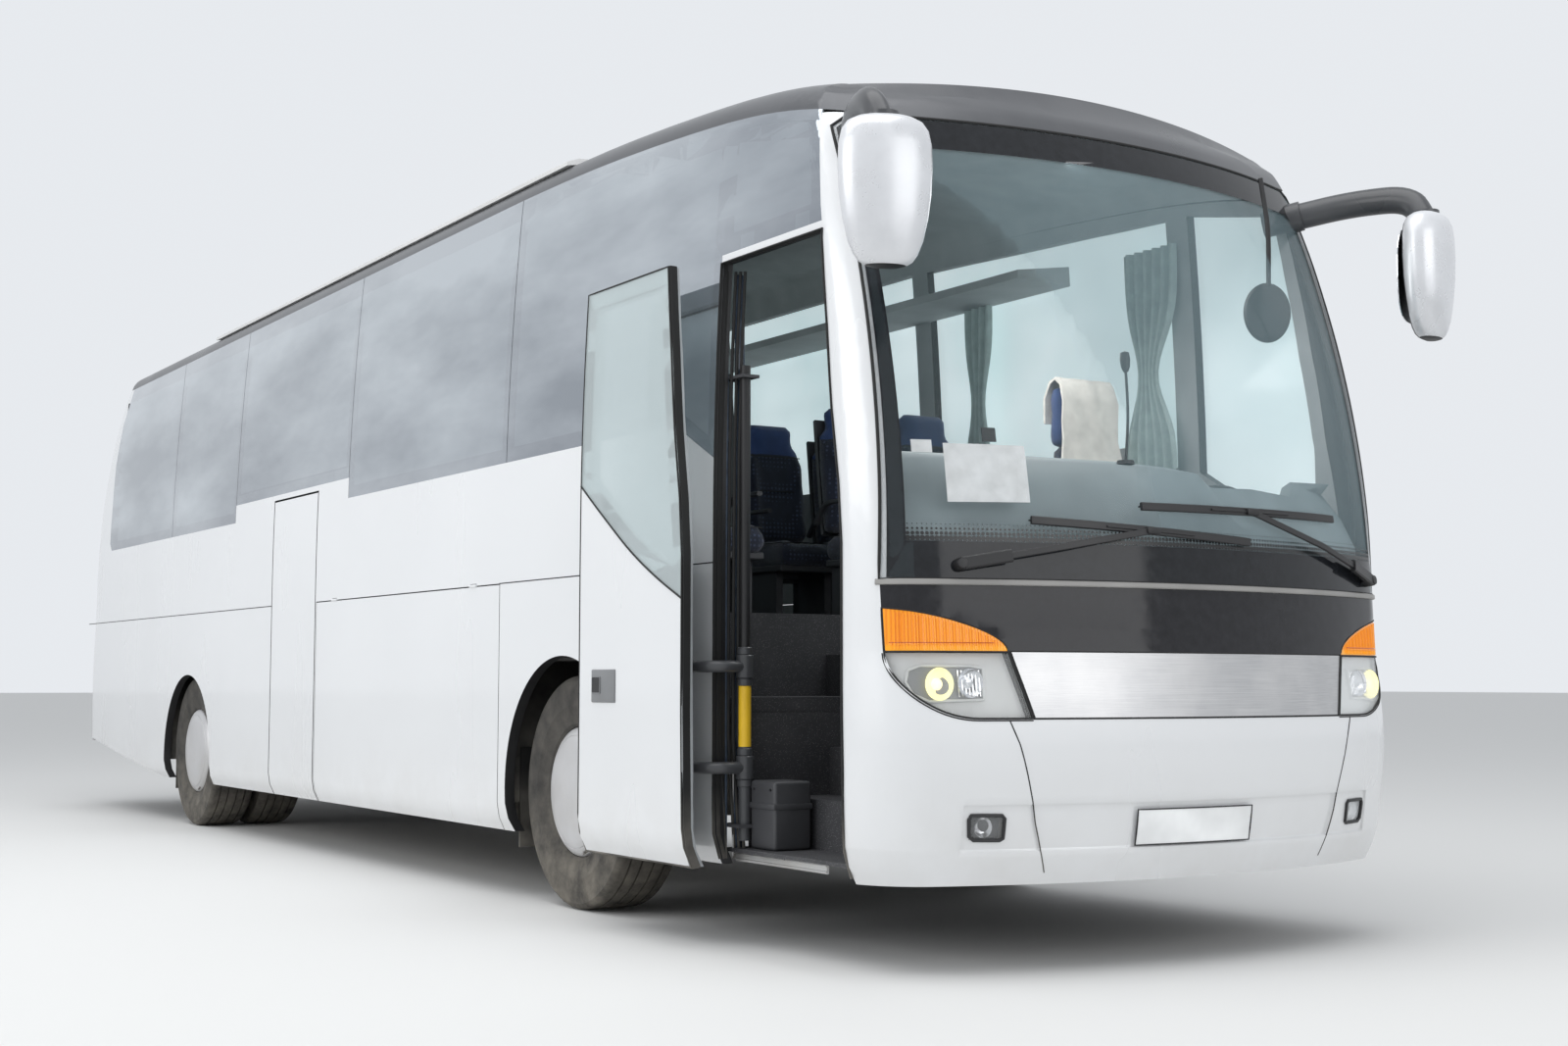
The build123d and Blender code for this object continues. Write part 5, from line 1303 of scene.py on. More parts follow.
# Columns: distance below the top, half the width, half the depth
MIRROR_ROWS = [(0.0, 0.075, 0.040), (0.006, 0.100, 0.055), (0.022, 0.132, 0.074), (0.050, 0.152, 0.086),
               (0.10, 0.163, 0.093), (0.18, 0.165, 0.095), (0.27, 0.160, 0.092), (0.35, 0.149, 0.085),
               (0.43, 0.131, 0.075), (0.475, 0.112, 0.064), (0.50, 0.094, 0.054), (0.514, 0.072, 0.042),
               (0.520, 0.048, 0.030)]
MIRROR_BACK = 0.82
MIRROR_TIP = 0.508
RIM_ANGLES = (118, 226)


def in_mirror(ahead, beside, z, side):
    """A point of a mirror's head, given along and across it."""
    x = MIRROR_X + ahead * math.cos(MIRROR_TOE) - beside * math.sin(MIRROR_TOE)
    y = MIRROR_Y + ahead * math.sin(MIRROR_TOE) + beside * math.cos(MIRROR_TOE)
    return Vector((x, side * y, z))


def mirror_head(bm, side):
    """A mirror's rounded head, black round its glass and at its tip."""
    turns = [2 * math.pi * i / 28 for i in range(28)]
    rings = [
        [in_mirror(max(half_x * math.cos(a), -half_x * MIRROR_BACK), half_y * math.sin(a),
                   MIRROR_TOP - drop, side)
         for a in turns]
        for drop, half_y, half_x in MIRROR_ROWS
    ]
    for face in loft(bm, rings):
        centre = face.calc_center_median()
        off_x, off_y, drop = centre.x - MIRROR_X, side * centre.y - MIRROR_Y, MIRROR_TOP - centre.z
        ahead = off_x * math.cos(MIRROR_TOE) + off_y * math.sin(MIRROR_TOE)
        beside = off_y * math.cos(MIRROR_TOE) - off_x * math.sin(MIRROR_TOE)
        half_y, half_x = (max(0.02, straight([(row[0], row[i]) for row in MIRROR_ROWS], drop))
                          for i in (1, 2))
        around = math.degrees(math.atan2(beside / half_y, ahead / half_x)) % 360
        if RIM_ANGLES[0] < around < RIM_ANGLES[1] or drop > MIRROR_TIP:
            face.material_index = 1


def squared(part):
    """A sine or cosine whose ring lies between an oval and a box."""
    return math.copysign(abs(part) ** 0.7, part)


def mirror_glass(bm, side):
    """The flat glass in the back of a mirror's head."""
    turns = [2 * math.pi * i / 32 for i in range(32)]
    ring = [(0.128 * squared(math.cos(a)), MIRROR_TOP - 0.25 + 0.195 * squared(math.sin(a))) for a in turns]
    loft(bm, [[in_mirror(back, beside, z, side) for beside, z in ring] for back in (-0.0815, -0.0855)],
         slot=2)


def mirror_arm(bm, side):
    """The arm from the roof's corner to a mirror's head, with its collar and neck."""
    y = side * MIRROR_Y
    route = [(AXLE + 2.02, side * 1.06, 2.965), (AXLE + 2.12, side * 1.13, 2.985),
             (AXLE + 2.33, side * 1.26, 3.020), (AXLE + 2.57, y, 3.010),
             (MIRROR_X - 0.005, y, MIRROR_TOP - 0.045)]
    sweep(bm, rounded_path(route, 0.13, 8), oval(20, 0.042, 0.056), slot=3)
    collar = [(AXLE + 2.10, side * 1.112, 2.979), (AXLE + 2.155, side * 1.150, 2.992)]
    sweep(bm, collar, oval(20, 0.052, 0.064), slot=3)
    neck = [(MIRROR_X - 0.002, y, MIRROR_TOP + 0.012), (MIRROR_X, y, MIRROR_TOP - 0.03)]
    sweep(bm, neck, oval(20, 0.052, 0.045), up=AHEAD, slot=3)


def make_mirrors():
    bm = bmesh.new()
    for side in SIDES:
        mirror_head(bm, side)
        mirror_glass(bm, side)
        mirror_arm(bm, side)
    slots = (BLACK_PLASTIC, MIRROR_FACE, ARM_GREY)
    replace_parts(new_object("outside_mirrors", bm, MIRROR_SHELL, slots=slots, sharp=40.0), "mirrors")


make_headlamps()
make_indicators()
make_fog_lamps()
make_front_plate()
make_front_joints()
make_screen_border()
make_wipers()
make_mirrors()


# Doors and entrance

# Columns: height, distance ahead of the axle
LEAF_ROWS = [(0.29, 2.290), (0.9, 2.275), (1.5, 2.275), (1.72, 2.255), (1.99, 2.205), (2.3, 2.16),
             (2.65, 2.10), (3.13, 2.01)]


def leaf_edge_x(z):
    """Where the front door's forward edge is at a height."""
    return AXLE + straight(LEAF_ROWS, z)


DOOR = "front_door_leaf"
DOOR_GAP = 0.012
LEAF_REAR = PORTAL_REAR + DOOR_GAP
LEAF_TOP = PORTAL_TOP - DOOR_GAP
EDGE_LEVELS = (0.9, 1.5, 1.72, 1.99, 2.3)
LEAF_EDGE = [(leaf_edge_x(z) - DOOR_GAP, z) for z in (0.31, *EDGE_LEVELS, LEAF_TOP)]
LEAF_LOW = [(LEAF_REAR, 1.83), (AXLE + 1.54, 1.723), (AXLE + 1.836, 1.531), (AXLE + 2.058, 1.417),
            (leaf_edge_x(1.33) - DOOR_GAP, 1.33)]
LEAF_HOLE = [(PORTAL_REAR + 0.09, 1.86), (AXLE + 1.56, 1.79), (AXLE + 1.85, 1.60), (AXLE + 2.07, 1.49),
             (leaf_edge_x(1.5) - 0.08, 1.45), (leaf_edge_x(2.0) - 0.085, 2.0),
             (leaf_edge_x(2.57) - 0.085, 2.57), (PORTAL_REAR + 0.09, 2.57)]
WALL_Y = -side_y(1.0)


def leaf_bar(bm, points, section, lift=0.0, loop=False):
    """A bar laid on the open leaf's outside, along (x, z) points given with the door shut."""
    sweep(bm, on_side(points, -1, lift, 0.08, loop, DOOR_SHIFT), section, up=LEFT, loop=loop)


def make_leaf_trim():
    """The rubber round the leaf and across it, and the gasket round its glass."""
    bm = bmesh.new()
    outline = [(LEAF_REAR, 0.31)] + LEAF_EDGE + [(LEAF_REAR, LEAF_TOP)]
    leaf_bar(bm, outline, bar(0.012, 0.034), -0.022, loop=True)
    leaf_bar(bm, outline, oval(8, 0.004), -0.001, loop=True)
    leaf_bar(bm, rounded_pairs(LEAF_LOW, 0.12, 6), oval(8, 0.0042), 0.0005)
    new_object("leaf_rubber_edges", bm, SEAL, body=DOOR)
    bm = bmesh.new()
    leaf_bar(bm, rounded_pairs(LEAF_HOLE, 0.07, 5, loop=True), bar(0.012, 0.012), -0.014, loop=True)
    new_object("leaf_glass_gasket", bm, SEAL, body=DOOR)


HANDLE_REAR = PORTAL_REAR + 0.135 + DOOR_SHIFT[0]
HANDLE_LEVELS = (0.925, 1.060)


def make_door_handle():
    """The plate low on the leaf, with a rimmed cup for the hand."""
    bm = bmesh.new()
    face_y = WALL_Y + DOOR_SHIFT[1]
    foot, head = HANDLE_LEVELS
    block(bm, (HANDLE_REAR, face_y - 0.006, foot), (HANDLE_REAR + 0.210, face_y + 0.010, head), 0.005, 3)
    x0, x1, z0, z1 = HANDLE_REAR + 0.012, HANDLE_REAR + 0.085, foot + 0.038, head - 0.030
    block(bm, (x0, face_y - 0.0075, z0), (x1, face_y - 0.004, z1), 0.001, 1, slot=1)
    rim = upright_ring(face_y - 0.0075, oblong(x0, z0, x1, z1), 0.008, 3)
    sweep(bm, rim, oval(8, 0.0025), up=LEFT, loop=True)
    new_object("door_handle_plate", bm, HANDLE, body=DOOR, slots=(BLACK_PLASTIC,))


PORTAL_FOOT = 0.33
JAMB_FOOT = 0.34
# Columns: distance ahead of the doorway's rear edge, depth behind the wall, thickness
SEAL_RIBS = ((-0.002, 0.030, 0.005), (0.006, 0.062, 0.0065), (0.019, 0.076, 0.0065), (0.032, 0.090, 0.0065))


def make_doorway_rubber():
    """The rubber round the doorway and the ribbed seal in its rear edge."""
    bm = bmesh.new()
    top = PORTAL_TOP - 0.002
    edge = [(leaf_edge_x(z) - 0.001, z) for z in (PORTAL_FOOT, *EDGE_LEVELS, 2.62)]
    outline = [(PORTAL_REAR + 0.001, PORTAL_FOOT), (PORTAL_REAR + 0.001, top),
               (edge[-1][0], top)] + edge[::-1]
    sweep(bm, on_side(outline, -1, 0.001), bar(0.006, 0.012), up=LEFT)
    sweep(bm, on_side(outline, -1, -0.020), bar(0.005, 0.016), up=LEFT)
    for ahead, depth, thickness in SEAL_RIBS:
        path = [(PORTAL_REAR + ahead, depth - side_y(z), z)
                for z in (PORTAL_FOOT, 0.8, 1.4, 1.9, 2.3, 2.63)]
        sweep(bm, path, oval(8, thickness), up=AHEAD)
    new_object("doorway_rubber", bm, SEAL)


def make_door_jamb():
    """The glossy jamb inside the doorway's rear edge."""
    bm = bmesh.new()
    y = WALL_Y + 0.052
    block(bm, (PORTAL_REAR - 0.100, y, JAMB_FOOT), (PORTAL_REAR - 0.001, y + 0.012, 2.60), 0.004)
    y = WALL_Y + 0.086
    block(bm, (PORTAL_REAR + 0.002, y, JAMB_FOOT), (PORTAL_REAR + 0.010, y + 0.044, 2.62), 0.003)
    new_object("dark_door_jamb", bm, JAMB)


# Columns: y, height, width, thickness
STEP_STRIPS = ((-1.183, 0.340, 0.010, 0.038), (-1.175, 0.366, 0.030, 0.006),
               (-1.189, 0.330, 0.004, 0.005), (-1.189, 0.350, 0.004, 0.005))


def make_step_edges():
    """The jamb's bright edge, and the bright ribbed edge of the lowest step."""
    bm = bmesh.new()
    x, y = PORTAL_REAR + 0.008, WALL_Y + 0.084
    sweep(bm, [(x, y, JAMB_FOOT), (x, y, 1.9)], oval(8, 0.003), up=AHEAD)
    for y, z, width, thickness in STEP_STRIPS:
        sweep(bm, [(PORTAL_REAR + 0.02, y, z), (AXLE + 2.04, y, z)], bar(width, thickness))
    new_object("bright_step_edges", bm, TUBE)


COLUMN = Vector((PORTAL_REAR + 0.05, -1.165, 0.0))
GEAR_TURN = math.radians(-3.2 - 150.0)
ARM_LEVELS = (0.68, 1.07)
# Columns: distance along the arm, distance beside it
ARM_ROUTE = ((0.0, 0.0), (0.03, 0.095), (0.11, 0.13), (0.444, 0.0))
# Columns: foot, head, radius
COLLARS = ((-0.045, 0.045, 0.034), (-0.075, -0.045, 0.029), (0.045, 0.075, 0.029))
KNOB = [(0.0, -0.026), (0.024, -0.024), (0.027, -0.018), (0.027, 0.018), (0.024, 0.024), (0.0, 0.026)]
# Columns: foot, head, radius, slot
COLUMN_LENGTHS = ((0.40, 0.76, 0.024, 0), (0.76, 1.00, 0.0245, 1), (1.00, 1.13, 0.024, 0),
                  (1.13, 2.25, 0.020, 2))


def make_door_gear():
    """The front door's swinging arms and column, with collars and a yellow grip."""
    bm = bmesh.new()
    along = Vector((math.cos(GEAR_TURN), math.sin(GEAR_TURN), 0.0))
    beside = UP.cross(along)
    for level in ARM_LEVELS:
        hub = COLUMN + UP * level
        path = [hub + along * u + beside * w for u, w in ARM_ROUTE]
        sweep(bm, rounded_path(path, 0.07, 6), oval(16, 0.0235))
        for low, high, radius in COLLARS:
            inner = radius - 0.003
            profile = [(0.0, low), (inner, low), (radius, low + 0.003), (radius, high - 0.003),
                       (inner, high), (0.0, high)]
            lathe(bm, profile, hub, UP, 32)
        lathe(bm, KNOB, path[-1], UP, 32)
    for low, high, radius, slot in COLUMN_LENGTHS:
        lathe(bm, [(0.0, low), (radius, low), (radius, high), (0.0, high)], COLUMN, UP, 32, slot)
    slots = (YELLOW, BLACK_PLASTIC)
    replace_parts(new_object("front_door_gear_arms", bm, ARM_GREY, body="front_door_gear", slots=slots),
                "front_door_arms")


def make_entrance_box():
    """The grey box beside the steps, with its lid's edge and two screws."""
    bm = bmesh.new()
    block(bm, (AXLE + 1.44, -1.15, 0.372), (AXLE + 1.62, -0.985, 0.632), 0.012, 3)
    block(bm, (AXLE + 1.435, -1.156, 0.525), (AXLE + 1.625, -0.98, 0.548), 0.006, 2)
    for ahead in (1.47, 1.59):
        screw = [(0.0, 0.003), (0.005, 0.003), (0.006, -0.004)]
        lathe(bm, screw, (AXLE + ahead, -1.151, 0.60), -LEFT, 16, 1)
    new_object("grey_entrance_box", bm, GREY_PLASTIC, slots=(BLACK_PLASTIC,))


def make_entrance_lining():
    """The dark panel along the steps, with a thin raised frame."""
    bm = bmesh.new()
    block(bm, (AXLE + 1.42, -0.470, 0.40), (AXLE + 2.25, -0.458, 0.93), 0.004, slot=1)
    ring = upright_ring(-0.480, oblong(AXLE + 1.86, 0.42, AXLE + 2.16, 0.92), 0.03, 5)
    sweep(bm, ring, oval(10, 0.007), up=LEFT, loop=True, slot=2)
    new_object("entrance_lining", bm, GREY_PLASTIC, slots=(DARK_LINING, ARM_GREY))


GUIDE_SEAT = Vector((AXLE + 1.42, -0.60, 0.0))
# Columns: low corner, high corner, rounding, segments, slot
GUIDE_BLOCKS = (
    ((0.0, -0.02, 1.225), (0.56, 0.02, 1.615), 0.018, 3, 0),
    ((0.05, -0.026, 1.26), (0.53, -0.016, 1.585), 0.004, 2, 1),
    ((-0.07, -0.03, 1.06), (0.03, 0.02, 1.25), 0.012, 3, 2),
    ((-0.03, -0.035, 1.055), (0.60, 0.03, 1.105), 0.010, 3, 2),
)
GUIDE_PIVOT = [(0.0, 0.05), (0.014, 0.046), (0.018, 0.03), (0.018, -0.03), (0.0, -0.03)]


def make_guide_seat():
    """The guide's seat, folded up in the entrance, with yellow lines along its hinge."""
    bm = bmesh.new()
    x, y, _ = GUIDE_SEAT
    for low, high, edge, segments, slot in GUIDE_BLOCKS:
        block(bm, GUIDE_SEAT + Vector(low), GUIDE_SEAT + Vector(high), edge, segments, slot)
    ring = upright_ring(y - 0.02, oblong(x + 0.012, 1.235, x + 0.548, 1.605), 0.03, 4)
    sweep(bm, ring, oval(10, 0.010), up=LEFT, loop=True, slot=2)
    lathe(bm, GUIDE_PIVOT, (x + 0.04, y - 0.045, 1.135), -AHEAD, 24)
    for z in (1.128, 1.142):
        sweep(bm, [(x + 0.06, y - 0.040, z), (x + 0.58, y - 0.040, z)], bar(0.008, 0.008), up=LEFT, slot=3)
    new_object("folded_guide_seat", bm, ARM_GREY, slots=(SEAT_BACK, GREY_PLASTIC, YELLOW))


def make_grab_rail():
    """The bent steel rail at the doorway's forward edge."""
    bm = bmesh.new()
    x = AXLE + 2.235
    rail = [(x, -1.200, 1.50), (x - 0.045, -1.165, 1.49), (x - 0.05, -1.160, 1.30),
            (x - 0.05, -1.160, 0.80), (x, -1.200, 0.70)]
    sweep(bm, rounded_path(rail, 0.08, 7), oval(14, 0.0145), up=AHEAD)
    new_object("entrance_grab_rail", bm, TUBE)


make_leaf_trim()
make_door_handle()
make_doorway_rubber()
make_door_jamb()
make_step_edges()
make_door_gear()
make_entrance_box()
make_entrance_lining()
make_guide_seat()
make_grab_rail()


# Seats: padded cushions swollen by a cloth simulation, then copied to every place

ROWS = 11
ROW_PITCH = 0.79
FIRST_ROW = REAR_X + 1.0
SEAT_YS = (0.48, 0.94)
MID_WELL = (AXLE - 4.215, AXLE - 3.354)
DRIVER_SEAT = (AXLE + 1.33, 0.62, CAB_Z)
PAD_VOXEL = 0.027
PAD_PRESSURE = 4.0
PAD_FRAMES = 20
PAD_REACH = 0.012
BLUE_FROM = 0.93


def puffed(bm, name, smooth=2):
    """A pad's form with an even skin, swollen by a cloth simulation whose points move only so far."""
    mesh = bpy.data.meshes.new(name)
    bm.to_mesh(mesh)
    bm.free()
    pad = link(bpy.data.objects.new(name, mesh))
    skin = pad.modifiers.new("even_skin", "REMESH")
    skin.mode = "VOXEL"
    skin.voxel_size = PAD_VOXEL
    soft = pad.modifiers.new("soft_corners", "SMOOTH")
    soft.factor = 0.5
    soft.iterations = smooth
    graph = bpy.context.evaluated_depsgraph_get()
    start = bpy.data.meshes.new_from_object(pad.evaluated_get(graph))
    pad.modifiers.clear()
    pad.data = start
    cloth = pad.modifiers.new("stuffing", "CLOTH")
    cloth.settings.use_pressure = True
    cloth.settings.uniform_pressure_force = PAD_PRESSURE
    cloth.settings.effector_weights.gravity = 0.0
    cloth.settings.quality = 5
    scene = bpy.context.scene
    for frame_number in range(1, PAD_FRAMES + 1):
        scene.frame_set(frame_number)
    graph = bpy.context.evaluated_depsgraph_get()
    swollen = pad.evaluated_get(graph).to_mesh()
    places = [vert.co.copy() for vert in swollen.vertices]
    pad.modifiers.clear()
    for vert, place in zip(start.vertices, places):
        move = place - vert.co
        vert.co += move * min(1.0, PAD_REACH / max(move.length, 0.0001))
    scene.frame_set(1)
    result = bmesh.new()
    result.from_mesh(pad.data)
    bpy.data.objects.remove(pad)
    return result


def seat_places():
    """Where each passenger seat stands: its row's line, its middle and its floor."""
    places = []
    for side in SIDES:
        for row in range(ROWS):
            x = FIRST_ROW + row * ROW_PITCH
            if not (side < 0 and MID_WELL[0] - 0.56 < x < MID_WELL[1] + 0.09):
                places += [(x, side * y, FLOOR_Z) for y in SEAT_YS]
    return places


def cushion_form():
    bm = bmesh.new()
    block(bm, (0.045, -0.196, 0.315), (0.475, 0.196, 0.415), 0.035, 4)
    for side in SIDES:
        block(bm, (0.06, side * 0.150 - 0.045, 0.33), (0.465, side * 0.150 + 0.045, 0.432), 0.03, 3)
    return bm


BACK_LEAN = Matrix.Rotation(math.radians(-7.0), 4, "Y")
BACK_MIDDLE = Vector((0.028, 0.0, 0.775))


def back_form():
    bm = bmesh.new()
    block(bm, (-0.045, -0.190, -0.34), (0.035, 0.190, 0.20), 0.03, 4)
    block(bm, (-0.045, -0.150, 0.10), (0.040, 0.150, 0.34), 0.045, 4)
    for side in SIDES:
        block(bm, (-0.03, side * 0.155 - 0.04, -0.32), (0.058, side * 0.155 + 0.04, 0.14), 0.03, 3)
    bmesh.ops.transform(bm, matrix=Matrix.Translation(BACK_MIDDLE) @ BACK_LEAN, verts=bm.verts)
    return bm


def headrest_form():
    bm = bmesh.new()
    block(bm, (-0.062, -0.150, 1.085), (0.022, 0.150, 1.365), 0.038, 4)
    return bm


def copies(template, places, blue_from=None):
    """One mesh with a copy of a template at each place; the faces above a height take the second cloth."""
    source = bpy.data.meshes.new("template")
    template.to_mesh(source)
    template.free()
    bm = bmesh.new()
    for place in places:
        known = len(bm.verts)
        bm.from_mesh(source)
        bm.verts.ensure_lookup_table()
        bmesh.ops.translate(bm, vec=place, verts=bm.verts[known:])
    if blue_from is not None:
        for face in bm.faces:
            face.material_index = 1 if face.calc_center_median().z - FLOOR_Z > blue_from else 0
    bpy.data.meshes.remove(source)
    return bm


def seat_seams(bm):
    """The piping round a seat's cushion and back, and its cross seams."""
    low = [(0.075, -0.185, 0.432), (0.455, -0.185, 0.430), (0.455, 0.185, 0.430), (0.075, 0.185, 0.432)]
    sweep(bm, rounded_path(low, 0.04, 2, loop=True), oval(4, 0.004), loop=True)
    for height in (-0.05, 0.14):
        line = [BACK_LEAN @ Vector((0.052, y, height)) + BACK_MIDDLE for y in (-0.16, 0.0, 0.16)]
        sweep(bm, line, oval(4, 0.0035), up=AHEAD)


def seat_frame(bm, side):
    """A seat's plinth, back shell and aisle armrest."""
    block(bm, (0.10, -0.17, 0.0), (0.36, -0.13, 0.30), 0.0, 1)
    block(bm, (0.10, 0.13, 0.0), (0.36, 0.17, 0.30), 0.0, 1)
    block(bm, (0.07, -0.19, 0.28), (0.44, 0.19, 0.315), 0.006, 1)
    shell = Matrix.Translation((-0.028, 0.0, 0.74)) @ BACK_LEAN
    verts = block(bm, (-0.012, -0.175, -0.30), (0.010, 0.175, 0.30), 0.008, 1)
    bmesh.ops.transform(bm, matrix=shell, verts=verts)
    arm = [(0.02, side * 0.212, 0.50), (0.10, side * 0.212, 0.60), (0.36, side * 0.212, 0.60)]
    sweep(bm, rounded_path(arm, 0.05, 2), bar(0.030, 0.022))


def make_seats():
    """Every seat's cushion and back, the driver's headrest, the seams and the frames."""
    places = seat_places() + [DRIVER_SEAT]
    cushion = puffed(cushion_form(), "cushion_form")
    back = puffed(back_form(), "back_form")
    cushions = new_object("seat_cushions", copies(cushion, places), CLOTH, sharp=70.0)
    backs = new_object("seat_backs", copies(back, places, BLUE_FROM), CLOTH, sharp=70.0,
                       slots=(BLUE_CLOTH,))
    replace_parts(cushions, "seats")
    rest = puffed(headrest_form(), "headrest_form")
    headrest = new_object("driver_headrest", copies(rest, [DRIVER_SEAT]), BLUE_CLOTH, sharp=70.0)
    seams = bmesh.new()
    seat_seams(seams)
    new_object("seat_seams", copies(seams, places), BLACK_PLASTIC)
    frames = bmesh.new()
    for side in SIDES:
        one = bmesh.new()
        seat_frame(one, side)
        half = copies(one, [place for place in places if place[1] * side < 0])
        mesh = bpy.data.meshes.new("frames")
        half.to_mesh(mesh)
        half.free()
        frames.from_mesh(mesh)
    new_object("seat_frames", frames, GREY_PLASTIC)


def sheet_mesh(rows, thick):
    """A thin cloth through rows of points."""
    bm = bmesh.new()
    lines = [[bm.verts.new(point) for point in row] for row in rows]
    edges = [[bm.edges.new(pair) for pair in zip(line, line[1:])] for line in lines]
    for a, b in zip(edges, edges[1:]):
        bmesh.ops.bridge_loops(bm, edges=a + b)
    bmesh.ops.recalc_face_normals(bm, faces=bm.faces)
    area = sum(face.calc_area() for face in bm.faces)
    bmesh.ops.solidify(bm, geom=bm.faces, thickness=thick)
    bmesh.ops.recalc_face_normals(bm, faces=bm.faces)
    return bm, area


# Columns: distance ahead of the seat's place, height above its floor
FLEECE_FALL = [(0.115, 0.62), (0.106, 0.75), (0.092, 0.90), (0.074, 1.03), (0.064, 1.12), (0.062, 1.20),
               (0.058, 1.29), (0.040, 1.37), (0.004, 1.40), (-0.048, 1.385), (-0.072, 1.31),
               (-0.078, 1.20)]


def make_fleece():
    """A fleece laid over the driver's seat back."""
    x, y, z = DRIVER_SEAT
    rows = []
    for i, (ahead, high) in enumerate(FLEECE_FALL):
        row = []
        for j in range(15):
            across = (j / 14 - 0.5) * (0.35 if high < 1.1 else 0.31)
            ripple = 0.004 * math.sin(3.1 * i + 1.9 * j) + 0.004 * math.sin(7.3 * j + i)
            row.append((x + ahead + 0.006 + ripple, y + across + 0.004 * math.sin(2.3 * i + j), z + high))
        rows.append(row)
    bm, area = sheet_mesh(rows, 0.012)
    obj = new_object("seat_fleece", bm, FLEECE, sharp=80.0)
    area / 0.36


CURTAIN_Y = 1.150
CURTAIN_TOP = 3.02


def make_curtain(name, x, width, folds, foot, tie, pinch, gather):
    """A curtain gathered on its rail and tied back part of the way down."""
    rows = []
    for i in range(19):
        z = CURTAIN_TOP + (foot - CURTAIN_TOP) * i / 18
        near = math.exp(-((z - tie) / 0.22) ** 2)
        keep = 1.0 - gather * near
        row = []
        for j in range(folds * 8 + 1):
            share = j / (folds * 8)
            swing = math.sin(2 * math.pi * folds * share + 0.6 * math.sin(3 * z))
            wave = 0.022 * (1.0 - 0.55 * near) * swing
            row.append((x + pinch * near + (share - 0.5) * width * keep, CURTAIN_Y + wave, z))
        rows.append(row)
    bm, area = sheet_mesh(rows, 0.0015)
    obj = new_object(name, bm, CURTAIN, sharp=80.0)
    drop = CURTAIN_TOP - foot
    area / drop


def make_screen_cards():
    """The blank card behind the screen and two small fittings beside it."""
    bm = bmesh.new()
    card = [(-0.990, 1.640), (-0.692, 1.645), (-0.695, 1.850), (-0.990, 1.850)]
    nose_patch(bm, card, lift=-0.022, thick=0.002, step=0.1)
    nose_patch(bm, oblong(-1.10, 1.815, -1.03, 1.86), lift=-0.020, thick=0.004, step=0.1)
    nose_patch(bm, oblong(-0.85, 1.86, -0.80, 1.91), lift=-0.018, thick=0.006, step=0.1, slot=1)
    new_object("blank_screen_cards", bm, PAPER, slots=(BLACK_PLASTIC,))


INSIDE_MIRROR = [(0.0, 0.020), (0.060, 0.018), (0.088, 0.010), (0.096, 0.0), (0.096, -0.006), (0.0, -0.006)]
INSIDE_GLASS = [(0.0, -0.0075), (0.088, -0.0075), (0.088, -0.006), (0.0, -0.006)]


def make_inside_mirror():
    """The round mirror above the driver, on its stalk."""
    bm = bmesh.new()
    place = Matrix.Translation((5.545, 0.765, 2.51)) @ Matrix.Rotation(math.radians(-32.0), 4, "Z")
    for slot, profile in enumerate((INSIDE_MIRROR, INSIDE_GLASS)):
        lathe(bm, profile, (0.0, 0.0, 0.0), AHEAD, 40, slot)
    bmesh.ops.scale(bm, vec=(1.0, 1.0, 1.28), verts=bm.verts)
    bmesh.ops.transform(bm, matrix=place, verts=bm.verts)
    stalk = rounded_path([(5.555, 0.765, 2.62), (5.56, 0.765, 2.85), (5.52, 0.765, 3.07)], 0.08, 4)
    sweep(bm, stalk, oval(10, 0.010), up=LEFT)
    new_object("inside_mirror", bm, BLACK_PLASTIC, slots=(MIRROR_FACE,))


MICROPHONE_HEAD = [(0.0, -0.01), (0.010, -0.008), (0.017, 0.01), (0.020, 0.04), (0.017, 0.066),
                   (0.0, 0.075)]
MICROPHONE_FOOT = [(0.0, 0.0), (0.035, 0.0), (0.032, 0.014), (0.0, 0.018)]


def make_microphone():
    bm = bmesh.new()
    stalk = rounded_path([(5.62, -0.07, 1.83), (5.64, -0.07, 2.02), (5.61, -0.055, 2.20)], 0.2, 8)
    sweep(bm, stalk, oval(10, 0.0055), up=LEFT)
    lathe(bm, MICROPHONE_HEAD, stalk[-1], stalk[-1] - stalk[-2], 24)
    lathe(bm, MICROPHONE_FOOT, (5.62, -0.07, 1.835), UP, 24)
    new_object("gooseneck_microphone", bm, BLACK_PLASTIC)


# Columns: y, reach behind the screen, height of the top
DASH_ROWS = ((-1.13, 0.26, 1.83), (-1.05, 0.40, 1.85), (-0.8, 0.48, 1.855), (-0.4, 0.50, 1.86),
             (0.0, 0.50, 1.86), (0.24, 0.48, 1.85), (0.30, 0.36, 1.80), (0.34, 0.34, 1.765),
             (0.6, 0.34, 1.775), (0.88, 0.34, 1.765), (0.92, 0.36, 1.80), (1.0, 0.40, 1.84),
             (1.13, 0.26, 1.83))
DASH_TOP = 1.86


def make_dashboard_top():
    """The dashboard's upper moulding, lower where the instruments are."""
    rings = []
    for y, back, high in DASH_ROWS:
        line = [(back, 1.45), (back - 0.015, high - 0.08), (back - 0.05, high - 0.02),
                (back - 0.10, high), (0.21, high - 0.04), (0.12, high - 0.15), (0.06, 1.56),
                (0.045, 1.43), (0.14, 1.42)]
        rings.append([(nose_x(y, min(z, DASH_TOP)) - away, y, z) for away, z in line])
    bm = bmesh.new()
    loft(bm, rings)
    new_object("dashboard_upper_moulding", bm, PALE_DASH, sharp=50.0)


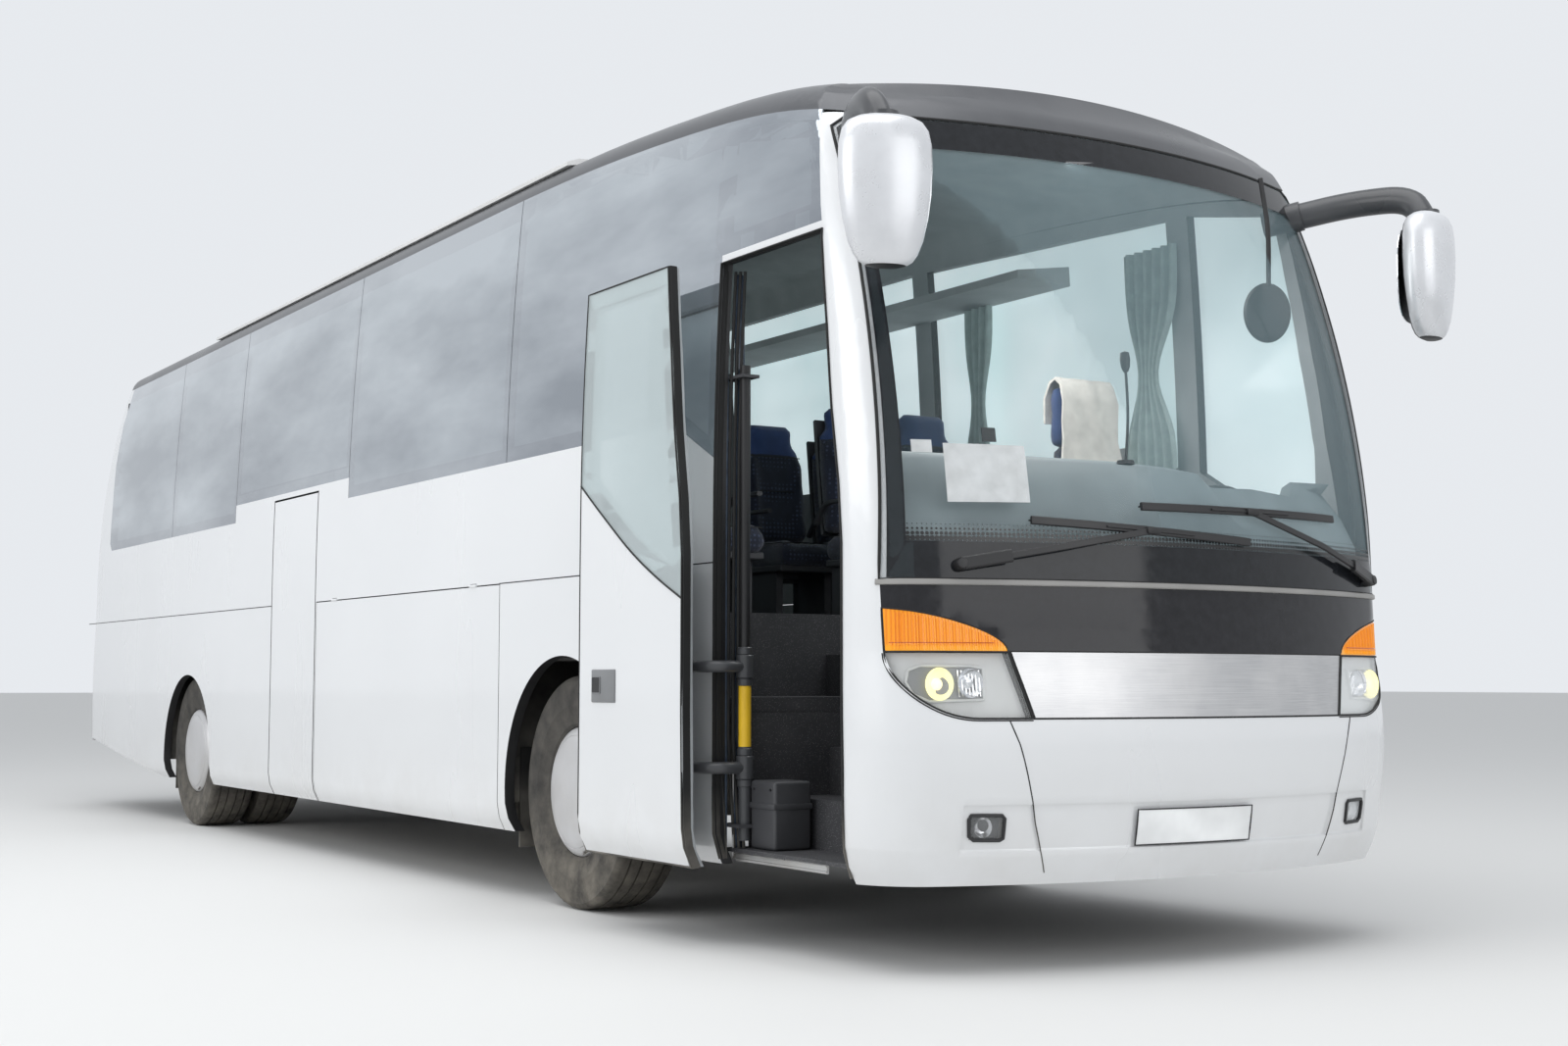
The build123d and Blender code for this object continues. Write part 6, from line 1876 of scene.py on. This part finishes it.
make_seats()
make_fleece()
make_curtain("left_window_curtain", 4.42, 0.36, 6, 1.98, 2.43, -0.02, 0.62)
make_curtain("left_rear_curtain", 3.10, 0.24, 4, 2.08, 2.45, 0.0, 0.5)
make_screen_cards()
make_inside_mirror()
make_microphone()
make_dashboard_top()


# Sides, roof and rear end

def skin_tree(names):
    """A tree of faces of several pieces, to lay others on them."""
    verts, faces = [], []
    for name in names:
        mesh = bpy.data.objects[name].data
        start = len(verts)
        verts += [vert.co.copy() for vert in mesh.vertices]
        faces += [[start + i for i in polygon.vertices] for polygon in mesh.polygons]
    return BVHTree.FromPolygons(verts, faces)


TAIL = skin_tree(("rear_panels", "engine_lid_skin", "rear_bumper_skin", "rear_pane"))
TOP_SKIN = skin_tree(("roof_skin",))


def on_tail(points, lift=0.0, step=0.08, loop=False):
    """A path of (y, z) points laid on the rear end."""
    path = []
    for p in divided([(y, z, 0.0) for y, z in points], step, loop):
        hit = TAIL.ray_cast(Vector((-8.0, p.x, p.y)), Vector((1.0, 0.0, 0.0)))[0]
        path.append(((hit.x if hit else REAR_X + 0.1) - lift, p.x, p.y))
    return path


TAIL_OUT = Vector((-1.0, 0.0, 0.1))


def tail_bar(bm, points, section, lift=0.0, step=0.08, loop=False):
    """A bar laid on the rear end, along (y, z) points."""
    sweep(bm, on_tail(points, lift, step, loop), section, up=TAIL_OUT, loop=loop)


def tail_spot(y, z):
    """The point of the rear end at a place."""
    return Vector(on_tail([(y, z), (y + 0.001, z)])[0])


def make_side_seams():
    """The level seam above the flaps, on both sides."""
    bm = bmesh.new()
    rear, front = REAR_X + 0.12, FRONT_X - 0.42
    door, right_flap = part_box("mid_door"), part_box("luggage_flap_right")
    rear_flap, front_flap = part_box("luggage_flap_left_1"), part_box("luggage_flap_left_2")
    runs = ((-1, rear, door[0].x), (-1, right_flap[1].x, PORTAL_REAR - 0.01), (1, rear, rear_flap[0].x),
            (1, front_flap[1].x, front))
    for side, x0, x1 in runs:
        sweep(bm, on_side([(x0, SEAM_Z), (x1, SEAM_Z)], side, -0.0012, step=0.25), oval(8, 0.0030), up=LEFT)
    new_object("side_panel_seams", bm, SEAL)


ROOF_UNIT_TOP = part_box("roof_unit")[1].z
FAN_PLACES = [(AXLE - 5.2 + ahead, y) for ahead in (0.5, 1.15, 1.8) for y in (-0.4, 0.4)]
GRILLE_TURNS = [math.pi * i / 20 for i in range(40)]
FAN_FLOOR = [(0.0, -0.016), (0.205, -0.016), (0.205, -0.0155), (0.0, -0.0155)]


def make_fan_grilles():
    """Six round grilles on the roof unit, each with five rings and six spokes over a dark floor."""
    bm = bmesh.new()
    for x, y in FAN_PLACES:
        place = Vector((x, y, ROOF_UNIT_TOP - 0.012))
        for k in range(5):
            radius = 0.075 + 0.032 * k
            ring = [place + Vector((radius * math.cos(a), radius * math.sin(a), 0.0)) for a in GRILLE_TURNS]
            sweep(bm, ring, oval(4, 0.0035), loop=True)
        for k in range(6):
            reach = Vector((math.cos(math.pi * k / 3), math.sin(math.pi * k / 3), 0.0))
            low = place - UP * 0.003
            sweep(bm, [low + reach * 0.055, low + reach * 0.208], oval(4, 0.0045))
        lathe(bm, FAN_FLOOR, place, UP, 32, 1)
    new_object("roof_fan_grilles", bm, GREY_PLASTIC, slots=(HOUSING,))


BOLT = [(0.0, 0.0), (0.014, 0.0), (0.013, 0.006), (0.0, 0.007)]


def make_roof_fixings():
    """The roof unit's bolts and the joint across its cover."""
    bm = bmesh.new()
    for x in (AXLE - 5.14, AXLE - 2.16):
        for y in (-0.62, -0.2, 0.2, 0.62):
            lathe(bm, BOLT, (x, y, ROOF_UNIT_TOP), UP, 12)
    sweep(bm, [(AXLE - 2.75, -0.70, ROOF_UNIT_TOP), (AXLE - 2.75, 0.70, ROOF_UNIT_TOP)], oval(6, 0.0028))
    new_object("roof_unit_fixings", bm, GREY_PLASTIC)


def make_roof_hatches():
    bm = bmesh.new()
    for x in (AXLE - 1.25, AXLE + 0.55, REAR_X + 1.55):
        hit = TOP_SKIN.ray_cast(Vector((x, 0.0, 5.0)), -UP)[0]
        base = hit.z if hit else CROWN_Z
        block(bm, (x - 0.33, -0.30, base - 0.03), (x + 0.33, 0.30, base + 0.022), 0.018, 3)
    new_object("roof_hatches", bm, GRAPHITE)


ROUND_LENS = [(0.0, 0.004), (0.030, 0.0035), (0.046, 0.0015), (0.050, -0.004)]


def make_tail_lamps():
    """The black frames and bars of the tail lamps, with a round lens in each field."""
    bm = bmesh.new()
    for side in SIDES:
        tail_bar(bm, oblong(side * 0.985, 0.90, side * 1.16, 1.42), bar(0.010, 0.008), 0.001, loop=True)
        for z in (1.03, 1.16, 1.29):
            tail_bar(bm, [(side * 0.99, z), (side * 1.155, z)], bar(0.009, 0.007), 0.0015)
        for z, slot in ((0.965, 2), (1.095, 1), (1.225, 3), (1.355, 3)):
            lathe(bm, ROUND_LENS, tail_spot(side * 1.072, z), (-1.0, 0.0, 0.05), 32, slot)
    new_object("tail_lamp_frames", bm, BLACK_PLASTIC, slots=(AMBER, LENS, RED))


def make_engine_lid_dress():
    """The louvres in their two frames, and the latch below them."""
    bm = bmesh.new()
    for side in SIDES:
        for k in range(16):
            z = 0.86 + 0.034 * k
            tail_bar(bm, [(side * 0.20, z), (side * 0.80, z)], bar(0.016, 0.010), -0.002, step=0.2)
        tail_bar(bm, oblong(side * 0.18, 0.835, side * 0.82, 1.395), bar(0.016, 0.010), loop=True)
    new_object("engine_lid_louvres", bm, GREY_PLASTIC, body="engine_cover")
    bm = bmesh.new()
    latch = tail_spot(0.0, 0.80)
    block(bm, latch - Vector((0.008, 0.07, 0.02)), latch + Vector((0.004, 0.07, 0.02)), 0.006, 3)
    new_object("engine_lid_latch", bm, BLACK_PLASTIC, body="engine_cover")


def make_rear_plate():
    bm = bmesh.new()
    x = min(point[0] for point in on_tail(oblong(-0.26, 0.48, 0.26, 0.60), 0.004))
    block(bm, (x - 0.003, -0.26, 0.48), (x + 0.012, 0.26, 0.60), 0.003, 2)
    new_object("blank_rear_plate", bm, PLATE)


MARKER_Z = 3.02
REFLECTOR_HALF = Vector((0.006, 0.06, 0.022))


def make_reflectors():
    """Two reflectors in the bumper and two marker lamps at the roof's corners."""
    bm = bmesh.new()
    for side in SIDES:
        spot = tail_spot(side * 0.86, 0.52)
        block(bm, spot - REFLECTOR_HALF, spot + REFLECTOR_HALF, 0.005, 2)
        marker = tail_spot(side * (side_y(MARKER_Z) - 0.085), MARKER_Z)
        block(bm, marker - Vector((0.022, 0.020, 0.045)), marker + Vector((0.030, 0.020, 0.045)), 0.012, 3)
    new_object("rear_reflectors", bm, RED)


REAR_WINDOW = [(-0.96, 2.18), (0.96, 2.18), (0.93, 2.96), (-0.93, 2.96)]


def make_rear_seals():
    """The seal round the rear window and the level joints below it."""
    bm = bmesh.new()
    tail_bar(bm, rounded_pairs(REAR_WINDOW, 0.05, 3, loop=True), oval(8, 0.006), 0.0005, loop=True)
    for half, z in ((1.02, 1.515), (1.02, 2.06), (1.15, 0.68)):
        tail_bar(bm, level_line(half, z), oval(8, 0.003), -0.0008)
    new_object("rear_seals", bm, SEAL)


make_side_seams()
make_fan_grilles()
make_roof_fixings()
make_roof_hatches()
make_tail_lamps()
make_engine_lid_dress()
make_rear_plate()
make_reflectors()
make_rear_seals()


# Wheels and tyres

TREAD_HALF = 0.118
GROOVE_HALF = 0.0046
GROOVE_DEPTH = 0.013
GROOVES = (0.085, 0.030, -0.030, -0.085)
# Columns: radius, distance from the tyre's middle
SIDEWALL = [
    (0.2885, 0.100), (0.2895, 0.118), (0.304, 0.128), (0.311, 0.1265), (0.340, 0.137), (0.378, 0.1450),
    (0.382, 0.1468), (0.391, 0.1470), (0.396, 0.1455), (0.430, 0.1475), (0.465, 0.1465), (0.488, 0.1425),
    (0.492, 0.1440), (0.500, 0.1400), (0.512, 0.1290), (0.5165, TREAD_HALF),
]


def tyre_profile():
    """Half a tyre's section and its mirror image, with grooves along the tread."""
    crown = []
    for groove in GROOVES:
        for edge, depth in ((GROOVE_HALF, 0.0), (0.7 * GROOVE_HALF, GROOVE_DEPTH),
                            (-0.7 * GROOVE_HALF, GROOVE_DEPTH), (-GROOVE_HALF, 0.0)):
            along = groove + edge
            crown.append((TYRE_R - 0.0035 * (along / TREAD_HALF) ** 2 - depth, along))
    return SIDEWALL + crown + [(radius, -along) for radius, along in reversed(SIDEWALL)] + SIDEWALL[:1]


RIM_R = 0.2875
# Columns: radius, distance outwards, from the middle of the domed cover to the rim's edge
COVER = [(0.0, 0.158), (0.05, 0.1578), (0.10, 0.1567), (0.15, 0.1545), (0.19, 0.1518), (0.22, 0.1485),
         (0.240, 0.1445), (0.2475, 0.1415), (0.2490, 0.1385), (0.2505, 0.1385), (0.2520, 0.1405),
         (0.262, 0.1370), (0.275, 0.1290), (0.284, 0.1200), (RIM_R, 0.1120)]
FRONT_RIM = COVER + [(RIM_R, -0.115), (0.262, -0.115), (0.262, 0.04), (0.09, 0.04), (0.09, -0.02),
                     (0.0401, -0.02), (0.0401, 0.06), (0.0, 0.06)]
TWIN_RIM = COVER + [(RIM_R, -0.455), (0.262, -0.455), (0.262, -0.19), (0.14, -0.19), (0.14, -0.40),
                    (0.0601, -0.40), (0.0601, 0.02), (0.0, 0.02)]
FRONT_TRACK = 1.060
OUTER_TRACK = 1.067
TWIN_STEP = 0.340
WHEEL_STEPS = 96


def valve_notch(bm, middle, side):
    """A dark block set into a cover near its edge, painted shade standing for the opening, with the valve
    in it.
    """
    x, y, z = middle
    out = y + side * 0.128
    spin = Matrix.Rotation(math.radians(-20.0), 4, "Y")
    # Painted shade: the dark block stands in for the shade inside the opening; the cover has no hole.
    block(bm, (x + 0.062, out, z - 0.268), (x + 0.108, out + side * 0.006, z - 0.236), 0.003, 1, 1, spin)
    sweep(bm, [(x + 0.086, out, z - 0.252), (x + 0.09, out + side * 0.016, z - 0.262)], oval(8, 0.004),
          slot=2)


for wheel_side, side in (("left", 1), ("right", -1)):
    outwards = (0.0, float(side), 0.0)
    for end, x, y, rims, rest in (("front", AXLE, FRONT_TRACK, FRONT_RIM, (0.0,)),
                                  ("rear", REAR_AXLE, OUTER_TRACK, TWIN_RIM, (0.0, -TWIN_STEP))):
        middle = Vector((x, side * y, TYRE_R))
        rides_on = f"front_wheel_{wheel_side}" if end == "front" else f"rear_wheels_{wheel_side}"
        bm = bmesh.new()
        for step_in in rest:
            lathe(bm, tyre_profile(), middle + Vector(outwards) * step_in, outwards, WHEEL_STEPS)
        tyres = new_object(f"ribbed_{end}_tyre_{wheel_side}", bm, RUBBER, rides_on, sharp=38.0)
        bm = bmesh.new()
        lathe(bm, rims, middle, outwards, WHEEL_STEPS)
        valve_notch(bm, middle, side)
        covers = new_object(f"covered_{end}_wheel_{wheel_side}", bm, WHEEL, rides_on, sharp=30.0,
                            slots=[SEAL, TUBE])
        if end == "front":
            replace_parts(tyres, f"tyre_front_{wheel_side}")
            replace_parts(covers, f"wheel_front_{wheel_side}")
        else:
            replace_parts(tyres, f"tyres_rear_{wheel_side}")
            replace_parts(covers, f"wheels_rear_{wheel_side}")
